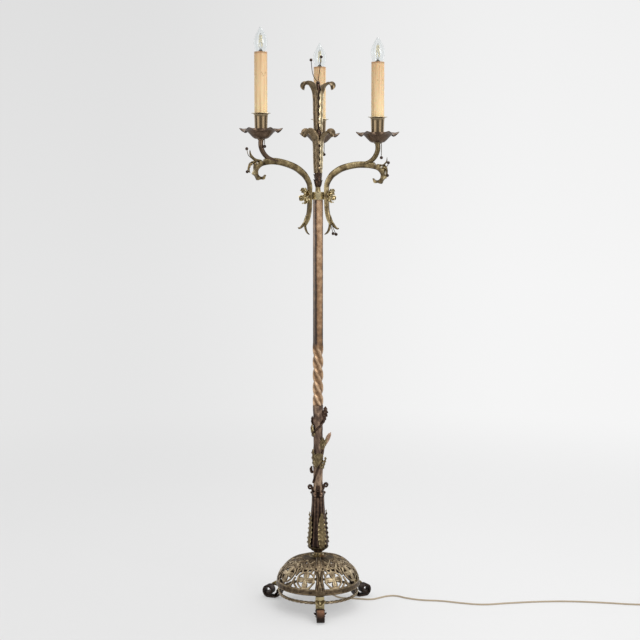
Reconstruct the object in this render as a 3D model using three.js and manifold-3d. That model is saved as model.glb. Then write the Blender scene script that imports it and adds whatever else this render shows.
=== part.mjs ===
// A candelabra floor lamp: a pierced dome on three scroll feet, a stacked stem and three candle arms.
// Millimetres, +Z up. Heights are measured from the floor and radii from the stem's axis.
import * as THREE from "three";
import { mergeVertices } from "three/addons/utils/BufferGeometryUtils.js";
import Module from "manifold-3d";

const wasm = await Module();
wasm.setup();

// Fits between pieces
const gap = 0.3;

// Pipe that ties the stack together
const pipeRadius = 5.15;
const pipeBore = 3.5;
const pipeBelowNut = 27;
const pipeAboveBand = 36;
const stackBore = pipeRadius + gap + 0.2;
const washerRadius = 18;
const washerThickness = 3;
const nutRadius = 10;
const nutHeight = 8;

// Base dome
const domeBottom = 58;
const domeSpring = domeBottom + 4;
const domeRadius = 111;
const domeRise = 75;
const domeWall = 2.5;
const rimHeight = 10;
const rimStandOff = 1;
const crownRadius = 34;
const ribWidth = 14;
const ribThickness = 4;

// Feet, azimuths counted from the front towards +X
const footAzimuths = { front: 2.6, right: 122.6, left: -117.4 };
const strapWidth = 22;
const strapThickness = 4;
const strapInset = 3.2;
const scrollHeight = 20;
const scrollReach = 42.5;
const scrollTurns = 1.6;
const scrollPitch = 7.75;
const soleCut = 0.35;

// Stretcher ring under the dome
const ringRadius = domeRadius - 7;
const ringHeight = 37;
const ringBar = 6.5;
const ringQuarterTurns = 20;

// Heights of the pieces of the stem, from the dome up
const domeCapHeight = 12;
const vaseHeight = 151;
const collarHeight = 17;
const lowerStemHeight = 231;
const twistLength = 168;
const straightLength = 376;
const bandHeight = 20;
const upperStemHeight = 279;

// Shaft
const shaftSide = 21;
const shaftChamfer = 2;
const shaftTurn = 20;
const twistPitch = 136;

// Arms, azimuths as for the feet: the pan's rise above the band's foot, then the lengths of what shows of
// the sleeve above its cup, of the bulb above its sleeve and of the pull chain below its pan
const arms = [
  { name: "left", azimuth: -57, panRise: 181, sleeve: 153, bulb: 64, chain: 20, chainAt: [9.3, -7.9] },
  { name: "right", azimuth: 62, panRise: 172, sleeve: 138, bulb: 63, chain: 39, chainAt: [9.6, -7.5] },
  { name: "back", azimuth: 178.5, panRise: 180, sleeve: 141, bulb: 65, chain: 32, chainAt: [12.2, 0] },
];
const armReach = 172;
const armRise = 181;
const armDepth = 12.5;
const armWidth = 9;
const bandRadius = 19;
const branchRadius = 4.75;

// Candles
const panRadius = 55;
const panDepth = 27;
const panWall = 1.6;
const panLobes = 8;
const panDip = 9;
const sleeveRadius = 16.5;
const sleeveWall = 1.5;
const sleeveSeat = 5.5;
const cupHeight = 37.5;
const cupRadius = sleeveRadius - 1;
const cupFlare = 8.5;
const cupFloor = 3;
const socketRadius = sleeveRadius - sleeveWall - gap;
const socketHeight = 50;
const capRadius = socketRadius - 1.7;
const capHeight = 26;
const bulbRadius = sleeveRadius + 1;
const glassWall = 1;
const chainRadius = 1.2;
const chainHole = 2.4;
const chainBall = 4;

// Stem leaves
const upperStemRadius = 8.5;
const lowerStemRadius = 12.5;
const tierHeight = 108;
const crownBelowTop = 104;
const leafThickness = 1.5;

// Vine round the lower stem: points on its way up as azimuths and shares of the stem's height, and its
// leaves, each as the number of its point, how far it leans out, its height and its width
const vineClimb = [[-60, 0.095], [0, 0.265], [90, 0.52], [180, 0.6], [270, 0.65], [360, 0.74], [450, 0.83]];
const vineLeaves = [[1, 8, 42, 24], [2, 18, 38, 18], [4, 8, 28, 20], [6, 11, 34, 20]];
const berryRadius = 4;
const wireRadius = 0.9;

// Cord: its free run from the bushing, in millimetres from the stem's axis, is a list chosen by hand
const cordDiameter = 4.5;
const cordRadius = cordDiameter / 2;
const bushingLength = 26;
const cordRoute = [
  [0, 0, 65.4], [0, 0, 58], [3, 2, 49], [10, 6.5, 40], [20, 13, 32], [31, 20, 24.5], [43, 28, 16],
  [55, 36, 8], [68, 42, 3.4], [84, 44, 2.4], [115, 38, 2.4], [147, 35, 2.4], [170, 49, 2.4],
  [191, 63, 2.4], [214, 65, 2.4], [240, 47, 2.4], [280, 29, 2.4], [336, 20, 2.4], [389, 2, 2.4],
  [440, -10, 2.4], [516, 2, 2.4], [600, 14, 2.4], [690, 16, 2.4], [780, 4, 2.4], [850, -9, 2.4],
  [895, -12, 3], [919.9, -12, 3.5],
];
const coilStart = [920.2, -12, 3.5];
const coilTurnsPerLayer = 3.5;
const coilPitch = 4.95;
const coilMiddleRadius = 27;
const coilStepsPerTurn = 24;
const tieThickness = 0.8;
const tieWidth = 6;
const tailRoute = [
  [929.5, -12, 8.45], [934, -12, 8.45], [943, -13.5, 8.2], [953, -18, 7.9], [965, -25, 7.6], [974, -31, 7.5],
];
const plugLength = 24;
const plugWidth = 22;
const plugHeight = 14;
const plugNeck = 12;
const bladeLength = 16;
const bladeWidth = 6.3;
const bladeThickness = 1.5;
const bladeSpacing = 12.7;

const degrees = THREE.MathUtils.degToRad;

// The direction of an azimuth, and a turn of a shape drawn along +X to point there
const headingOf = (azimuth) => degrees(azimuth - 90);
const around = (geometry, azimuth) => geometry.clone().rotateZ(headingOf(azimuth));

// A closed mesh as a solid, and a solid as a mesh
function solidOf(geometry) {
  const bare = geometry.index ? geometry.toNonIndexed() : geometry.clone();
  bare.deleteAttribute("normal");
  bare.deleteAttribute("uv");
  const merged = mergeVertices(bare, 1e-3);
  return new wasm.Manifold(
    new wasm.Mesh({
      numProp: 3,
      vertProperties: new Float32Array(merged.attributes.position.array),
      triVerts: new Uint32Array(merged.index.array),
    }),
  );
}

function meshOf(solid) {
  const made = solid.getMesh();
  const geometry = new THREE.BufferGeometry();
  geometry.setAttribute("position", new THREE.BufferAttribute(new Float32Array(made.vertProperties), 3));
  geometry.setIndex(new THREE.BufferAttribute(new Uint32Array(made.triVerts), 1));
  return geometry;
}

const joined = (...geometries) => meshOf(geometries.map(solidOf).reduce((a, b) => a.add(b)));
const cutBy = (geometry, ...tools) =>
  meshOf(tools.map(solidOf).reduce((a, b) => a.subtract(b), solidOf(geometry)));

// Revolves [radius, height] pairs about the Z axis
function turned(profile, segments = 16) {
  const points = profile.map(([radius, height]) => new THREE.Vector2(radius, height));
  return new THREE.LatheGeometry(points, segments).rotateX(Math.PI / 2);
}

// Closes a profile on itself
const loop = (profile) => [...profile, profile[0]];

// A smooth curve through [radius, height] pairs in the XZ plane, or through [x, y, z] triples
const planeCurve = (pairs) =>
  new THREE.CatmullRomCurve3(pairs.map(([radius, height]) => new THREE.Vector3(radius, 0, height)));
const spaceCurve = (triples) => new THREE.CatmullRomCurve3(triples.map((p) => new THREE.Vector3(...p)));

// Sections that are carried along a curve
function rectangle(width, depth) {
  return new THREE.Shape([
    new THREE.Vector2(-width / 2, -depth / 2),
    new THREE.Vector2(width / 2, -depth / 2),
    new THREE.Vector2(width / 2, depth / 2),
    new THREE.Vector2(-width / 2, depth / 2),
  ]);
}

function polygon(radius, sides, turn = 0) {
  const corner = (i) => {
    const angle = turn + (2 * Math.PI * i) / sides;
    return new THREE.Vector2(radius * Math.cos(angle), radius * Math.sin(angle));
  };
  return new THREE.Shape(Array.from({ length: sides }, (_, i) => corner(i)));
}

const swept = (section, curve, steps) =>
  new THREE.ExtrudeGeometry(section, { steps, bevelEnabled: false, extrudePath: curve, curveSegments: 1 });

// Moves every vertex of a geometry by a function that changes the point it is given
function reshaped(geometry, change) {
  const positions = geometry.attributes.position;
  const point = new THREE.Vector3();
  for (let i = 0; i < positions.count; i++) {
    point.fromBufferAttribute(positions, i);
    change(point);
    positions.setXYZ(i, point.x, point.y, point.z);
  }
  return geometry;
}

// A toothed leaf that follows a curve in the XZ plane; cupping bends its edges away from the stem
function leaf(pairs, width, teeth, cupping = 0, toothDepth = 0.3) {
  const curve = planeCurve(pairs);
  const stations = 2 * teeth;
  const across = new THREE.Vector3(0, 1, 0);
  return reshaped(new THREE.BoxGeometry(1, 1, 1, 2, stations, 1), (point) => {
    const along = point.y + 0.5;
    const station = Math.round(along * stations);
    const envelope = 0.9 * Math.sin(Math.PI * along ** 0.7) + 0.12 * (1 - along) + 0.03;
    const halfWidth = (width / 2) * envelope * (station % 2 ? 1 : 1 - toothDepth);
    const side = 2 * point.x;
    const out = across.clone().cross(curve.getTangentAt(along));
    const lift = point.z * leafThickness + cupping * side * side * envelope;
    point.copy(curve.getPointAt(along));
    point.addScaledVector(across, side * halfWidth);
    point.addScaledVector(out, lift);
  });
}

// A ball on the end of a thin wire
function berryOnWire(triples, steps = 3) {
  const end = triples[triples.length - 1];
  const ball = new THREE.SphereGeometry(berryRadius, 6, 3).translate(...end);
  return joined(swept(polygon(wireRadius, 4), spaceCurve(triples), steps), ball);
}

const material = (color, roughness, metalness) =>
  new THREE.MeshStandardMaterial({ color, roughness, metalness });
const finishes = {
  brass: () => material(0x8a7a4e, 0.42, 0.9),
  brightBrass: () => material(0xb08f45, 0.3, 1),
  bronze: () => material(0x5f4b3c, 0.5, 0.8),
  iron: () => material(0x4a3d36, 0.55, 0.8),
  shaft: () => material(0x967350, 0.55, 0.4),
  wax: () => material(0xe1be87, 0.6, 0),
  glass: () => material(0xf0f0ee, 0.05, 0),
  steel: () => material(0x9a9a98, 0.35, 1),
  cord: () => material(0xa5967f, 0.5, 0),
};

const lamp = new THREE.Group();
const cords = new THREE.Group();

function add(name, geometry, finish, group = lamp) {
  const mesh = new THREE.Mesh(geometry, finishes[finish]());
  mesh.name = name;
  group.add(mesh);
  return mesh;
}

// Base dome: an elliptic shell with a rim band, three ribs over the feet and pierced panels between them
const domePoint = (t, offset = 0) => {
  const outX = Math.cos(t) / domeRadius;
  const outZ = Math.sin(t) / domeRise;
  const size = Math.hypot(outX, outZ);
  return [
    domeRadius * Math.cos(t) + (offset * outX) / size,
    domeSpring + domeRise * Math.sin(t) + (offset * outZ) / size,
  ];
};
const crownAngle = Math.acos(crownRadius / domeRadius);
const domeAngles = [0.16, 0.42, 0.68, 0.94, crownAngle];
const crownHeight = domePoint(crownAngle)[1];

// Heights where the pieces of the stem meet
const capBottom = crownHeight + gap;
const vaseBottom = capBottom + domeCapHeight + gap;
const vaseTop = vaseBottom + vaseHeight;
const collarTop = vaseTop + collarHeight;
const twistBottom = collarTop + lowerStemHeight;
const twistTop = twistBottom + twistLength;
const bandBottom = twistTop + straightLength;
const bandTop = bandBottom + bandHeight;
const stemTop = bandTop + upperStemHeight;
const washerTop = crownHeight - domeWall - gap;
const nutTop = washerTop - washerThickness - gap;
const pipeBottom = nutTop - nutHeight - pipeBelowNut;
const pipeTop = bandTop + pipeAboveBand;

function domeShell() {
  const outer = domeRadius + rimStandOff;
  const inner = domeRadius - domeWall;
  return turned(
    loop([
      [inner, domeBottom],
      [outer, domeBottom],
      [outer, domeBottom + rimHeight],
      ...domeAngles.map((t) => domePoint(t)),
      [stackBore, crownHeight],
      [stackBore, crownHeight - domeWall],
      ...domeAngles.map((t) => domePoint(t, -domeWall)).reverse(),
    ]),
    24,
  );
}

function domeRib(azimuth) {
  const [low, high] = [0.1, crownAngle - 0.04];
  const spine = Array.from({ length: 7 }, (_, i) => domePoint(low + ((high - low) * i) / 6, rimStandOff));
  return around(swept(rectangle(ribWidth, ribThickness), planeCurve(spine), 8), azimuth);
}

// One radial hole, at a height angle t on the dome and a distance aside from the panel's middle
function domeHole(azimuth, t, aside, radius) {
  const [distance, height] = domePoint(t);
  const [outX, outZ] = domePoint(t, 1);
  const direction = new THREE.Vector3(outX - distance, 0, outZ - height);
  const turn = new THREE.Quaternion().setFromUnitVectors(new THREE.Vector3(0, 1, 0), direction.normalize());
  const hole = new THREE.CylinderGeometry(radius, radius, 14, 6);
  hole.applyQuaternion(turn).translate(distance, 0, height);
  return around(hole, azimuth + THREE.MathUtils.radToDeg(aside / distance));
}

const panelHoles = [
  [0.32, -31, 9],
  [0.32, 31, 9],
  [0.48, 0, 10],
  [0.86, 0, 7],
];

const footList = Object.entries(footAzimuths);
const domeHoles = footList.flatMap(([, azimuth]) =>
  panelHoles.map(([t, aside, radius]) => domeHole(azimuth + 60, t, aside, radius)),
);
const solidDome = joined(domeShell(), ...footList.map(([, azimuth]) => domeRib(azimuth)));
add("base_dome", cutBy(solidDome, ...domeHoles), "brass");

add(
  "dome_cap",
  turned(
    loop([
      [stackBore, capBottom],
      [26, capBottom],
      [26, capBottom + 2.5],
      [21, capBottom + 5.5],
      [13, capBottom + 7],
      [15, capBottom + 9],
      [13, vaseBottom - gap],
      [stackBore, vaseBottom - gap],
    ]),
    16,
  ),
  "bronze",
);

// Feet: one strap each, straight inside the rim, down to the floor and rolled up into a scroll, with a leaf
const strapAtRim = domeRadius - domeWall - strapThickness / 2 - strapInset;
const soleHeight = strapThickness / 2 - soleCut;
const legLean = ringRadius + ringBar / 2 + strapThickness / 2 + gap;
const scrollCentre = [legLean + scrollReach, scrollHeight];

function scrollPoints() {
  const start = degrees(-95);
  const first = scrollCentre[1] - soleHeight;
  const count = 14;
  return Array.from({ length: count + 1 }, (_, i) => {
    const turns = (scrollTurns * i) / count;
    const radius = first - scrollPitch * turns;
    const angle = start + 2 * Math.PI * turns;
    return [scrollCentre[0] + radius * Math.cos(angle), scrollCentre[1] + radius * Math.sin(angle)];
  });
}

const legPoints = [
  [strapAtRim, domeBottom + rimHeight],
  [strapAtRim, domeBottom + 3],
  [legLean + 0.2, ringHeight + 12],
  [legLean + 1.6, ringHeight],
  [legLean + 5, 20],
  [legLean + 13, 7],
  [legLean + 26.5, soleHeight],
];

function foot() {
  const line = planeCurve([...legPoints, ...scrollPoints()]);
  const strap = swept(rectangle(strapWidth, strapThickness), line, 34);
  const shoulderLeaf = leaf(
    [
      [legLean + 1, 50],
      [legLean + 5, 41],
      [legLean + 10, 33],
      [legLean + 19, 27],
    ],
    33,
    3,
  );
  const floor = new THREE.BoxGeometry(200, 60, 20).translate(130, 0, -10);
  return cutBy(joined(strap, shoulderLeaf), floor);
}

for (const [name, azimuth] of footList) add("foot_" + name, around(foot(), azimuth), "iron");

// Stretcher ring: a twisted square bar
function stretcherRing() {
  const ring = new THREE.TorusGeometry(ringRadius, ringBar / Math.SQRT2, 4, 60);
  return reshaped(ring, (point) => {
    const angle = Math.atan2(point.y, point.x);
    const radial = Math.hypot(point.x, point.y) - ringRadius;
    const turn = (ringQuarterTurns * angle) / 4;
    const side = radial * Math.cos(turn) - point.z * Math.sin(turn);
    const height = radial * Math.sin(turn) + point.z * Math.cos(turn);
    const distance = ringRadius + side;
    point.set(distance * Math.cos(angle), distance * Math.sin(angle), ringHeight + height);
  });
}
add("stretcher_ring", stretcherRing(), "iron");

// Tie pipe with the washer and nut that draw the stack together under the dome
const tube = (inner, outer, bottom, top, segments) =>
  turned(loop([[inner, bottom], [outer, bottom], [outer, top], [inner, top]]), segments);

add("centre_pipe", tube(pipeBore, pipeRadius, pipeBottom, pipeTop, 12), "steel");
add("pipe_washer", tube(stackBore, washerRadius, washerTop - washerThickness, washerTop, 12), "steel");
const nutSection = polygon(nutRadius, 6);
nutSection.holes.push(polygon(stackBore, 12));
const nut = new THREE.ExtrudeGeometry(nutSection, { depth: nutHeight, bevelEnabled: false });
add("pipe_nut", nut.translate(0, 0, nutTop - nutHeight), "steel");

// Vase with four toothed leaves on one ring, and the ruffled collar above it
const vaseProfile = [
  [17, vaseBottom],
  [22.5, vaseBottom + 7],
  [26.5, vaseBottom + 17],
  [27.5, vaseBottom + 26],
  [26, vaseBottom + 42],
  [22, vaseBottom + 80],
  [18, vaseBottom + 122],
  [16.5, vaseTop],
];

function vaseRadius(height) {
  const above = vaseProfile.findIndex(([, z]) => z >= height);
  const [r0, z0] = vaseProfile[above - 1];
  const [r1, z1] = vaseProfile[above];
  return r0 + ((r1 - r0) * (height - z0)) / (z1 - z0);
}
const vaseSides = 14;
const vaseOutline = loop([[stackBore, vaseBottom], ...vaseProfile, [stackBore, vaseTop]]);
add("vase_body", turned(vaseOutline, vaseSides), "iron");

const ringLow = vaseBottom + 8;
const ringHigh = vaseBottom + 16;
const vaseRing = turned(
  loop([
    [vaseRadius(ringLow) + gap, ringLow],
    [vaseRadius(ringLow) + 3, ringLow],
    [vaseRadius(ringHigh) + 3, ringHigh],
    [vaseRadius(ringHigh) + gap, ringHigh],
  ]),
  vaseSides,
);
const vaseLeaf = leaf(
  [
    [vaseRadius(vaseBottom + 12) + 2.2, vaseBottom + 12],
    [vaseRadius(vaseBottom + 26) + 2, vaseBottom + 26],
    [vaseRadius(vaseBottom + 50) + 2.6, vaseBottom + 50],
    [vaseRadius(vaseBottom + 75) + 4.5, vaseBottom + 75],
    [vaseRadius(vaseBottom + 98) + 9, vaseBottom + 98],
  ],
  28,
  4,
  -1.5,
);
const vaseLeaves = [25, 115, 205, 295].map((azimuth) => around(vaseLeaf, azimuth));
add("vase_leaves", joined(vaseRing, ...vaseLeaves), "brass");

function collarBody() {
  const body = turned(
    loop([
      [stackBore, vaseTop + gap],
      [15, vaseTop + gap],
      [18, vaseTop + 6],
      [22, vaseTop + 10],
      [20, collarTop - 3],
      [13, collarTop],
      [stackBore, collarTop],
    ]),
    18,
  );
  return reshaped(body, (point) => {
    const radius = Math.hypot(point.x, point.y);
    const swell = 1 + 0.06 * Math.cos(6 * Math.atan2(point.y, point.x));
    if (radius > lowerStemRadius + 4) point.set(point.x * swell, point.y * swell, point.z);
  });
}

// A small upright scroll that stands on the collar, clear of the stem
function collarCurl() {
  const eye = [23.5, collarTop + 13];
  const rise = [
    [17.5, collarTop - 4],
    [17.5, collarTop + 6],
  ];
  const curl = Array.from({ length: 8 }, (_, i) => {
    const radius = 6 - 0.35 * i;
    const angle = degrees(180 - 40 * i);
    return [eye[0] + radius * Math.cos(angle), eye[1] + radius * Math.sin(angle)];
  });
  return swept(rectangle(5, 2.2), planeCurve([...rise, ...curl]), 11);
}
const collarCurls = [-90, 90, 0].map((azimuth) => around(collarCurl(), azimuth));
add("ruffled_collar", joined(collarBody(), ...collarCurls), "iron");

// Lower stem, and the vine that climbs it
const stemFoot = collarTop + gap;
const stemHead = twistBottom - gap;
add(
  "lower_stem",
  turned(
    loop([
      [stackBore, stemFoot],
      [lowerStemRadius, stemFoot],
      [lowerStemRadius, stemHead - 12],
      [15, stemHead - 8],
      [15, stemHead],
      [stackBore, stemHead],
    ]),
    12,
  ),
  "iron",
);

function stemVine() {
  const radius = lowerStemRadius + gap + 2;
  const heightAt = (share) => stemFoot + share * (stemHead - stemFoot);
  const climb = new THREE.SplineCurve(vineClimb.map(([azimuth, share]) => new THREE.Vector2(azimuth, share)));
  const line = climb.getPoints(24).map((point) => {
    const heading = headingOf(point.x);
    return [radius * Math.cos(heading), radius * Math.sin(heading), heightAt(point.y)];
  });
  const leafAt = ([point, out, length, width]) => {
    const [azimuth, share] = vineClimb[point];
    const start = radius + 0.2;
    const height = heightAt(share);
    const path = [
      [start, height],
      [start + out * 0.35, height + length * 0.4],
      [start + out * 0.75, height + length * 0.75],
      [start + out, height + length],
    ];
    return around(leaf(path, width, 3), azimuth);
  };
  return joined(swept(polygon(2, 5), spaceCurve(line), 30), ...vineLeaves.map(leafAt));
}
add("stem_vine", stemVine(), "brass");

// Shaft: one square bar with a bore, twisted left-handed at its lower end
function shaft() {
  const half = shaftSide / 2;
  const flat = half - shaftChamfer;
  const corners = [
    [half, -flat],
    [half, flat],
    [flat, half],
    [-flat, half],
    [-half, flat],
    [-half, -flat],
    [-flat, -half],
    [flat, -half],
  ];
  const section = new THREE.Shape(corners.map(([x, y]) => new THREE.Vector2(x, y)));
  section.holes.push(polygon(stackBore / Math.cos(Math.PI / 8), 8));
  const twistSteps = 18;
  const steps = twistSteps + 1;
  const shaftTop = bandBottom - gap;
  const bar = new THREE.ExtrudeGeometry(section, { depth: steps, steps, bevelEnabled: false });
  return reshaped(bar, (point) => {
    const station = Math.round(point.z);
    const inTwist = Math.min(station, twistSteps) / twistSteps;
    const height = station > twistSteps ? shaftTop : twistBottom + inTwist * (twistTop - twistBottom);
    const below = twistTop - Math.min(height, twistTop);
    const angle = degrees(shaftTurn) + (2 * Math.PI * below) / twistPitch;
    point.set(
      point.x * Math.cos(angle) - point.y * Math.sin(angle),
      point.x * Math.sin(angle) + point.y * Math.cos(angle),
      height,
    );
  });
}
add("shaft", shaft(), "shaft");

add(
  "arm_band",
  turned(
    loop([
      [stackBore, bandBottom],
      [bandRadius - 1.5, bandBottom],
      [bandRadius, bandBottom + 3],
      [bandRadius - 1.5, bandBottom + 6],
      [bandRadius - 1.5, bandTop - 6],
      [bandRadius, bandTop - 3],
      [bandRadius - 1.5, bandTop],
      [stackBore, bandTop],
    ]),
    16,
  ),
  "brightBrass",
);

// Arms: each a forged bar that passes the band, rises, runs out and ends in a scroll. Heights are counted
// from the band's foot, and a lower arm bends down from the highest one's line between two radii
const bendStart = 40;
const bendLength = 100;
const armAxis = bandRadius + gap + armDepth / 2;

function armPoints(arm, pairs) {
  return pairs.map(([radius, height]) => {
    const share = THREE.MathUtils.clamp((radius - bendStart) / bendLength, 0, 1);
    return [radius, bandBottom + height - (armRise - arm.panRise) * share];
  });
}

function armGeometry(arm) {
  const outward = (share) => 50 + share * (armReach - 50);
  const bar = [
    [40, -65],
    [32, -49],
    [armAxis + 1.4, -27],
    [armAxis, 0],
    [armAxis, bandHeight],
    [armAxis + 1.4, bandHeight + 21],
    [38, 60],
    [50, 71],
    [outward(0.14), 82],
    [outward(0.31), 90],
    [outward(0.51), 96],
    [outward(0.7), 99],
    [armReach - 15, 95],
    [armReach + 5, 87],
    [armReach + 15, 72],
    [armReach + 11, 58],
    [armReach + 1, 51],
    [armReach - 10, 55],
  ];
  const outerTip = [
    [36, -55],
    [42, -63],
    [50, -69],
    [58, -74],
  ];
  const innerTip = [
    [38, -59],
    [39, -71],
    [36, -83],
    [29, -91],
  ];
  return joined(
    swept(rectangle(armWidth, armDepth), planeCurve(armPoints(arm, bar)), 34),
    leaf(armPoints(arm, outerTip), 12, 2, 0, 0.2),
    leaf(armPoints(arm, innerTip), 10, 2, 0, 0.2),
  );
}

function branchGeometry(arm) {
  const seatTop = bandBottom + arm.panRise - panDepth - gap;
  const foot = [
    [armReach - 46, 110],
    [armReach - 32, 111.4],
    [armReach - 18, 115.4],
  ];
  const tubeCurve = planeCurve([
    ...armPoints(arm, foot),
    [armReach - 7, seatTop - 27],
    [armReach - 1, seatTop - 13],
    [armReach, seatTop - 2],
  ]);
  const stalk = swept(polygon(branchRadius, 8), tubeCurve, 9);
  const seat = turned([[0, seatTop - 4], [9, seatTop - 3], [9, seatTop], [0, seatTop]], 8);
  return joined(stalk, seat.translate(armReach, 0, 0));
}

// Leaves and berries at the outer end of an arm, on a bud, counted from the bud's middle
function sprayGeometry(arm) {
  const spray = joined(
    new THREE.SphereGeometry(5.5, 6, 4),
    leaf([[1, 2.5], [5, 12.5], [9, 24.5], [13, 36.5]], 20, 2),
    leaf([[2, -0.5], [9, -6.5], [14, -13.5], [17, -22.5]], 20, 2),
    berryOnWire([[1, 0, 1.5], [12, 5, 19.5], [23, 7, 38.5]]),
    berryOnWire([[2, 0, -0.5], [16, 5, -5.5], [25, 7, -19.5]]),
  );
  const [[radius, height]] = armPoints(arm, [[armReach + 18, 90.5]]);
  return spray.translate(radius, 0, height);
}

// A five-petalled rosette on the outside of an arm, at the band
function rosetteGeometry() {
  const flower = turned([[0, 0], [7, 0], [14, 5], [19, 13], [17, 13.5], [10, 6], [5, 4], [0, 8]], 10);
  reshaped(flower, (point) => {
    const radius = Math.hypot(point.x, point.y);
    const petal = 1 + 0.16 * Math.cos(5 * Math.atan2(point.y, point.x));
    if (radius > 12) point.set(point.x * petal, point.y * petal, point.z);
  });
  return flower.rotateY(Math.PI / 2).translate(armAxis + armDepth / 2 + gap, 0, (bandBottom + bandTop) / 2);
}

for (const arm of arms) {
  add("arm_" + arm.name, around(armGeometry(arm), arm.azimuth), "brass");
  add("branch_" + arm.name, around(branchGeometry(arm), arm.azimuth), "brass");
  add("leaf_spray_" + arm.name, around(sprayGeometry(arm), arm.azimuth), "brass");
  add("rosette_" + arm.name, around(rosetteGeometry(), arm.azimuth), "brass");
}

// Upper stem with two tiers of tall leaves and the berries above them
add(
  "upper_stem",
  turned(
    loop([
      [stackBore, bandTop + gap],
      [13, bandTop + gap],
      [13, bandTop + 4],
      [upperStemRadius, bandTop + 8],
      [upperStemRadius, stemTop - 20],
      [5, stemTop],
      [0, stemTop],
      [0, pipeTop + 2],
      [stackBore, pipeTop + 2],
    ]),
    12,
  ),
  "iron",
);

function leafTier(bottom, reach, azimuths) {
  const ring = tube(upperStemRadius + gap, upperStemRadius + 3.5, bottom, bottom + 8, 12);
  const start = upperStemRadius + 2.2;
  const path = [
    [start, bottom + 3],
    [start + 3, bottom + tierHeight * 0.3],
    [start + 4, bottom + tierHeight * 0.6],
    [start + 9, bottom + tierHeight * 0.88],
    [(start + reach) / 2 + 6, bottom + tierHeight],
    [reach - 3, bottom + tierHeight - 6],
    [reach, bottom + tierHeight - 20],
  ];
  const blade = leaf(path, 34, 4, -2.5);
  return joined(ring, ...azimuths.map((azimuth) => around(blade, azimuth)));
}
const crownBottom = stemTop - crownBelowTop;
const tierBottom = crownBottom - tierHeight - 10;
add("tier_leaves", leafTier(tierBottom, 42, [-60, 68, 180]), "brass");
add("crown_leaves", leafTier(crownBottom, 40, [-66, 62, 174]), "brass");

const berryFoot = stemTop + gap;
add(
  "berry_spray",
  joined(
    turned([[0, berryFoot], [5, berryFoot], [3, berryFoot + 6], [0, berryFoot + 7]], 8),
    berryOnWire([[-1, 0, berryFoot + 4], [-8, -2, berryFoot + 34], [-18, -4, berryFoot + 61]]),
    berryOnWire([[1, 0, berryFoot + 4], [4, -2, berryFoot + 34], [8.5, -3, berryFoot + 69]]),
  ),
  "brass",
);

// Candles: each stands on its pan's axis, and is not turned with its arm
function panGeometry(arm) {
  const floor = panDepth - panWall;
  const pan = turned(
    loop([
      [stackBore, -panDepth],
      [20, -panDepth],
      [46, -panDepth + 13],
      [panRadius, 0],
      [panRadius - panWall, 0.4],
      [45, -floor + 13],
      [19.5, -floor],
      [stackBore, -floor],
    ]),
    24,
  );
  reshaped(pan, (point) => {
    const radius = Math.hypot(point.x, point.y);
    const dip = 0.5 - 0.5 * Math.cos(panLobes * Math.atan2(point.y, point.x));
    const share = Math.max(0, (radius - 30) / (panRadius - 30));
    point.z -= panDip * dip * share ** 2;
  });
  const way = new THREE.CylinderGeometry(chainHole, chainHole, 12, 8).rotateX(Math.PI / 2);
  return cutBy(pan, way.translate(arm.chainAt[0], arm.chainAt[1], -panDepth));
}

function cupGeometry(arm) {
  const bottom = -panDepth + panWall + gap;
  const seat = cupHeight - sleeveSeat;
  const cup = turned(
    loop([
      [stackBore, bottom],
      [cupRadius, bottom],
      [cupRadius + 1.5, seat],
      [cupRadius + 4.5, seat + 1.5],
      [cupRadius + cupFlare, cupHeight],
      [cupRadius + cupFlare - 1.5, cupHeight],
      [sleeveRadius + gap, seat + 1.2],
      [sleeveRadius + gap, seat],
      [cupRadius - 0.6, seat],
      [cupRadius - 0.6, bottom + cupFloor],
      [stackBore, bottom + cupFloor],
    ]),
    12,
  );
  const way = new THREE.CylinderGeometry(chainHole, chainHole, 3 * cupFloor, 8).rotateX(Math.PI / 2);
  return cutBy(cup, way.translate(arm.chainAt[0], arm.chainAt[1], bottom));
}

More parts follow.
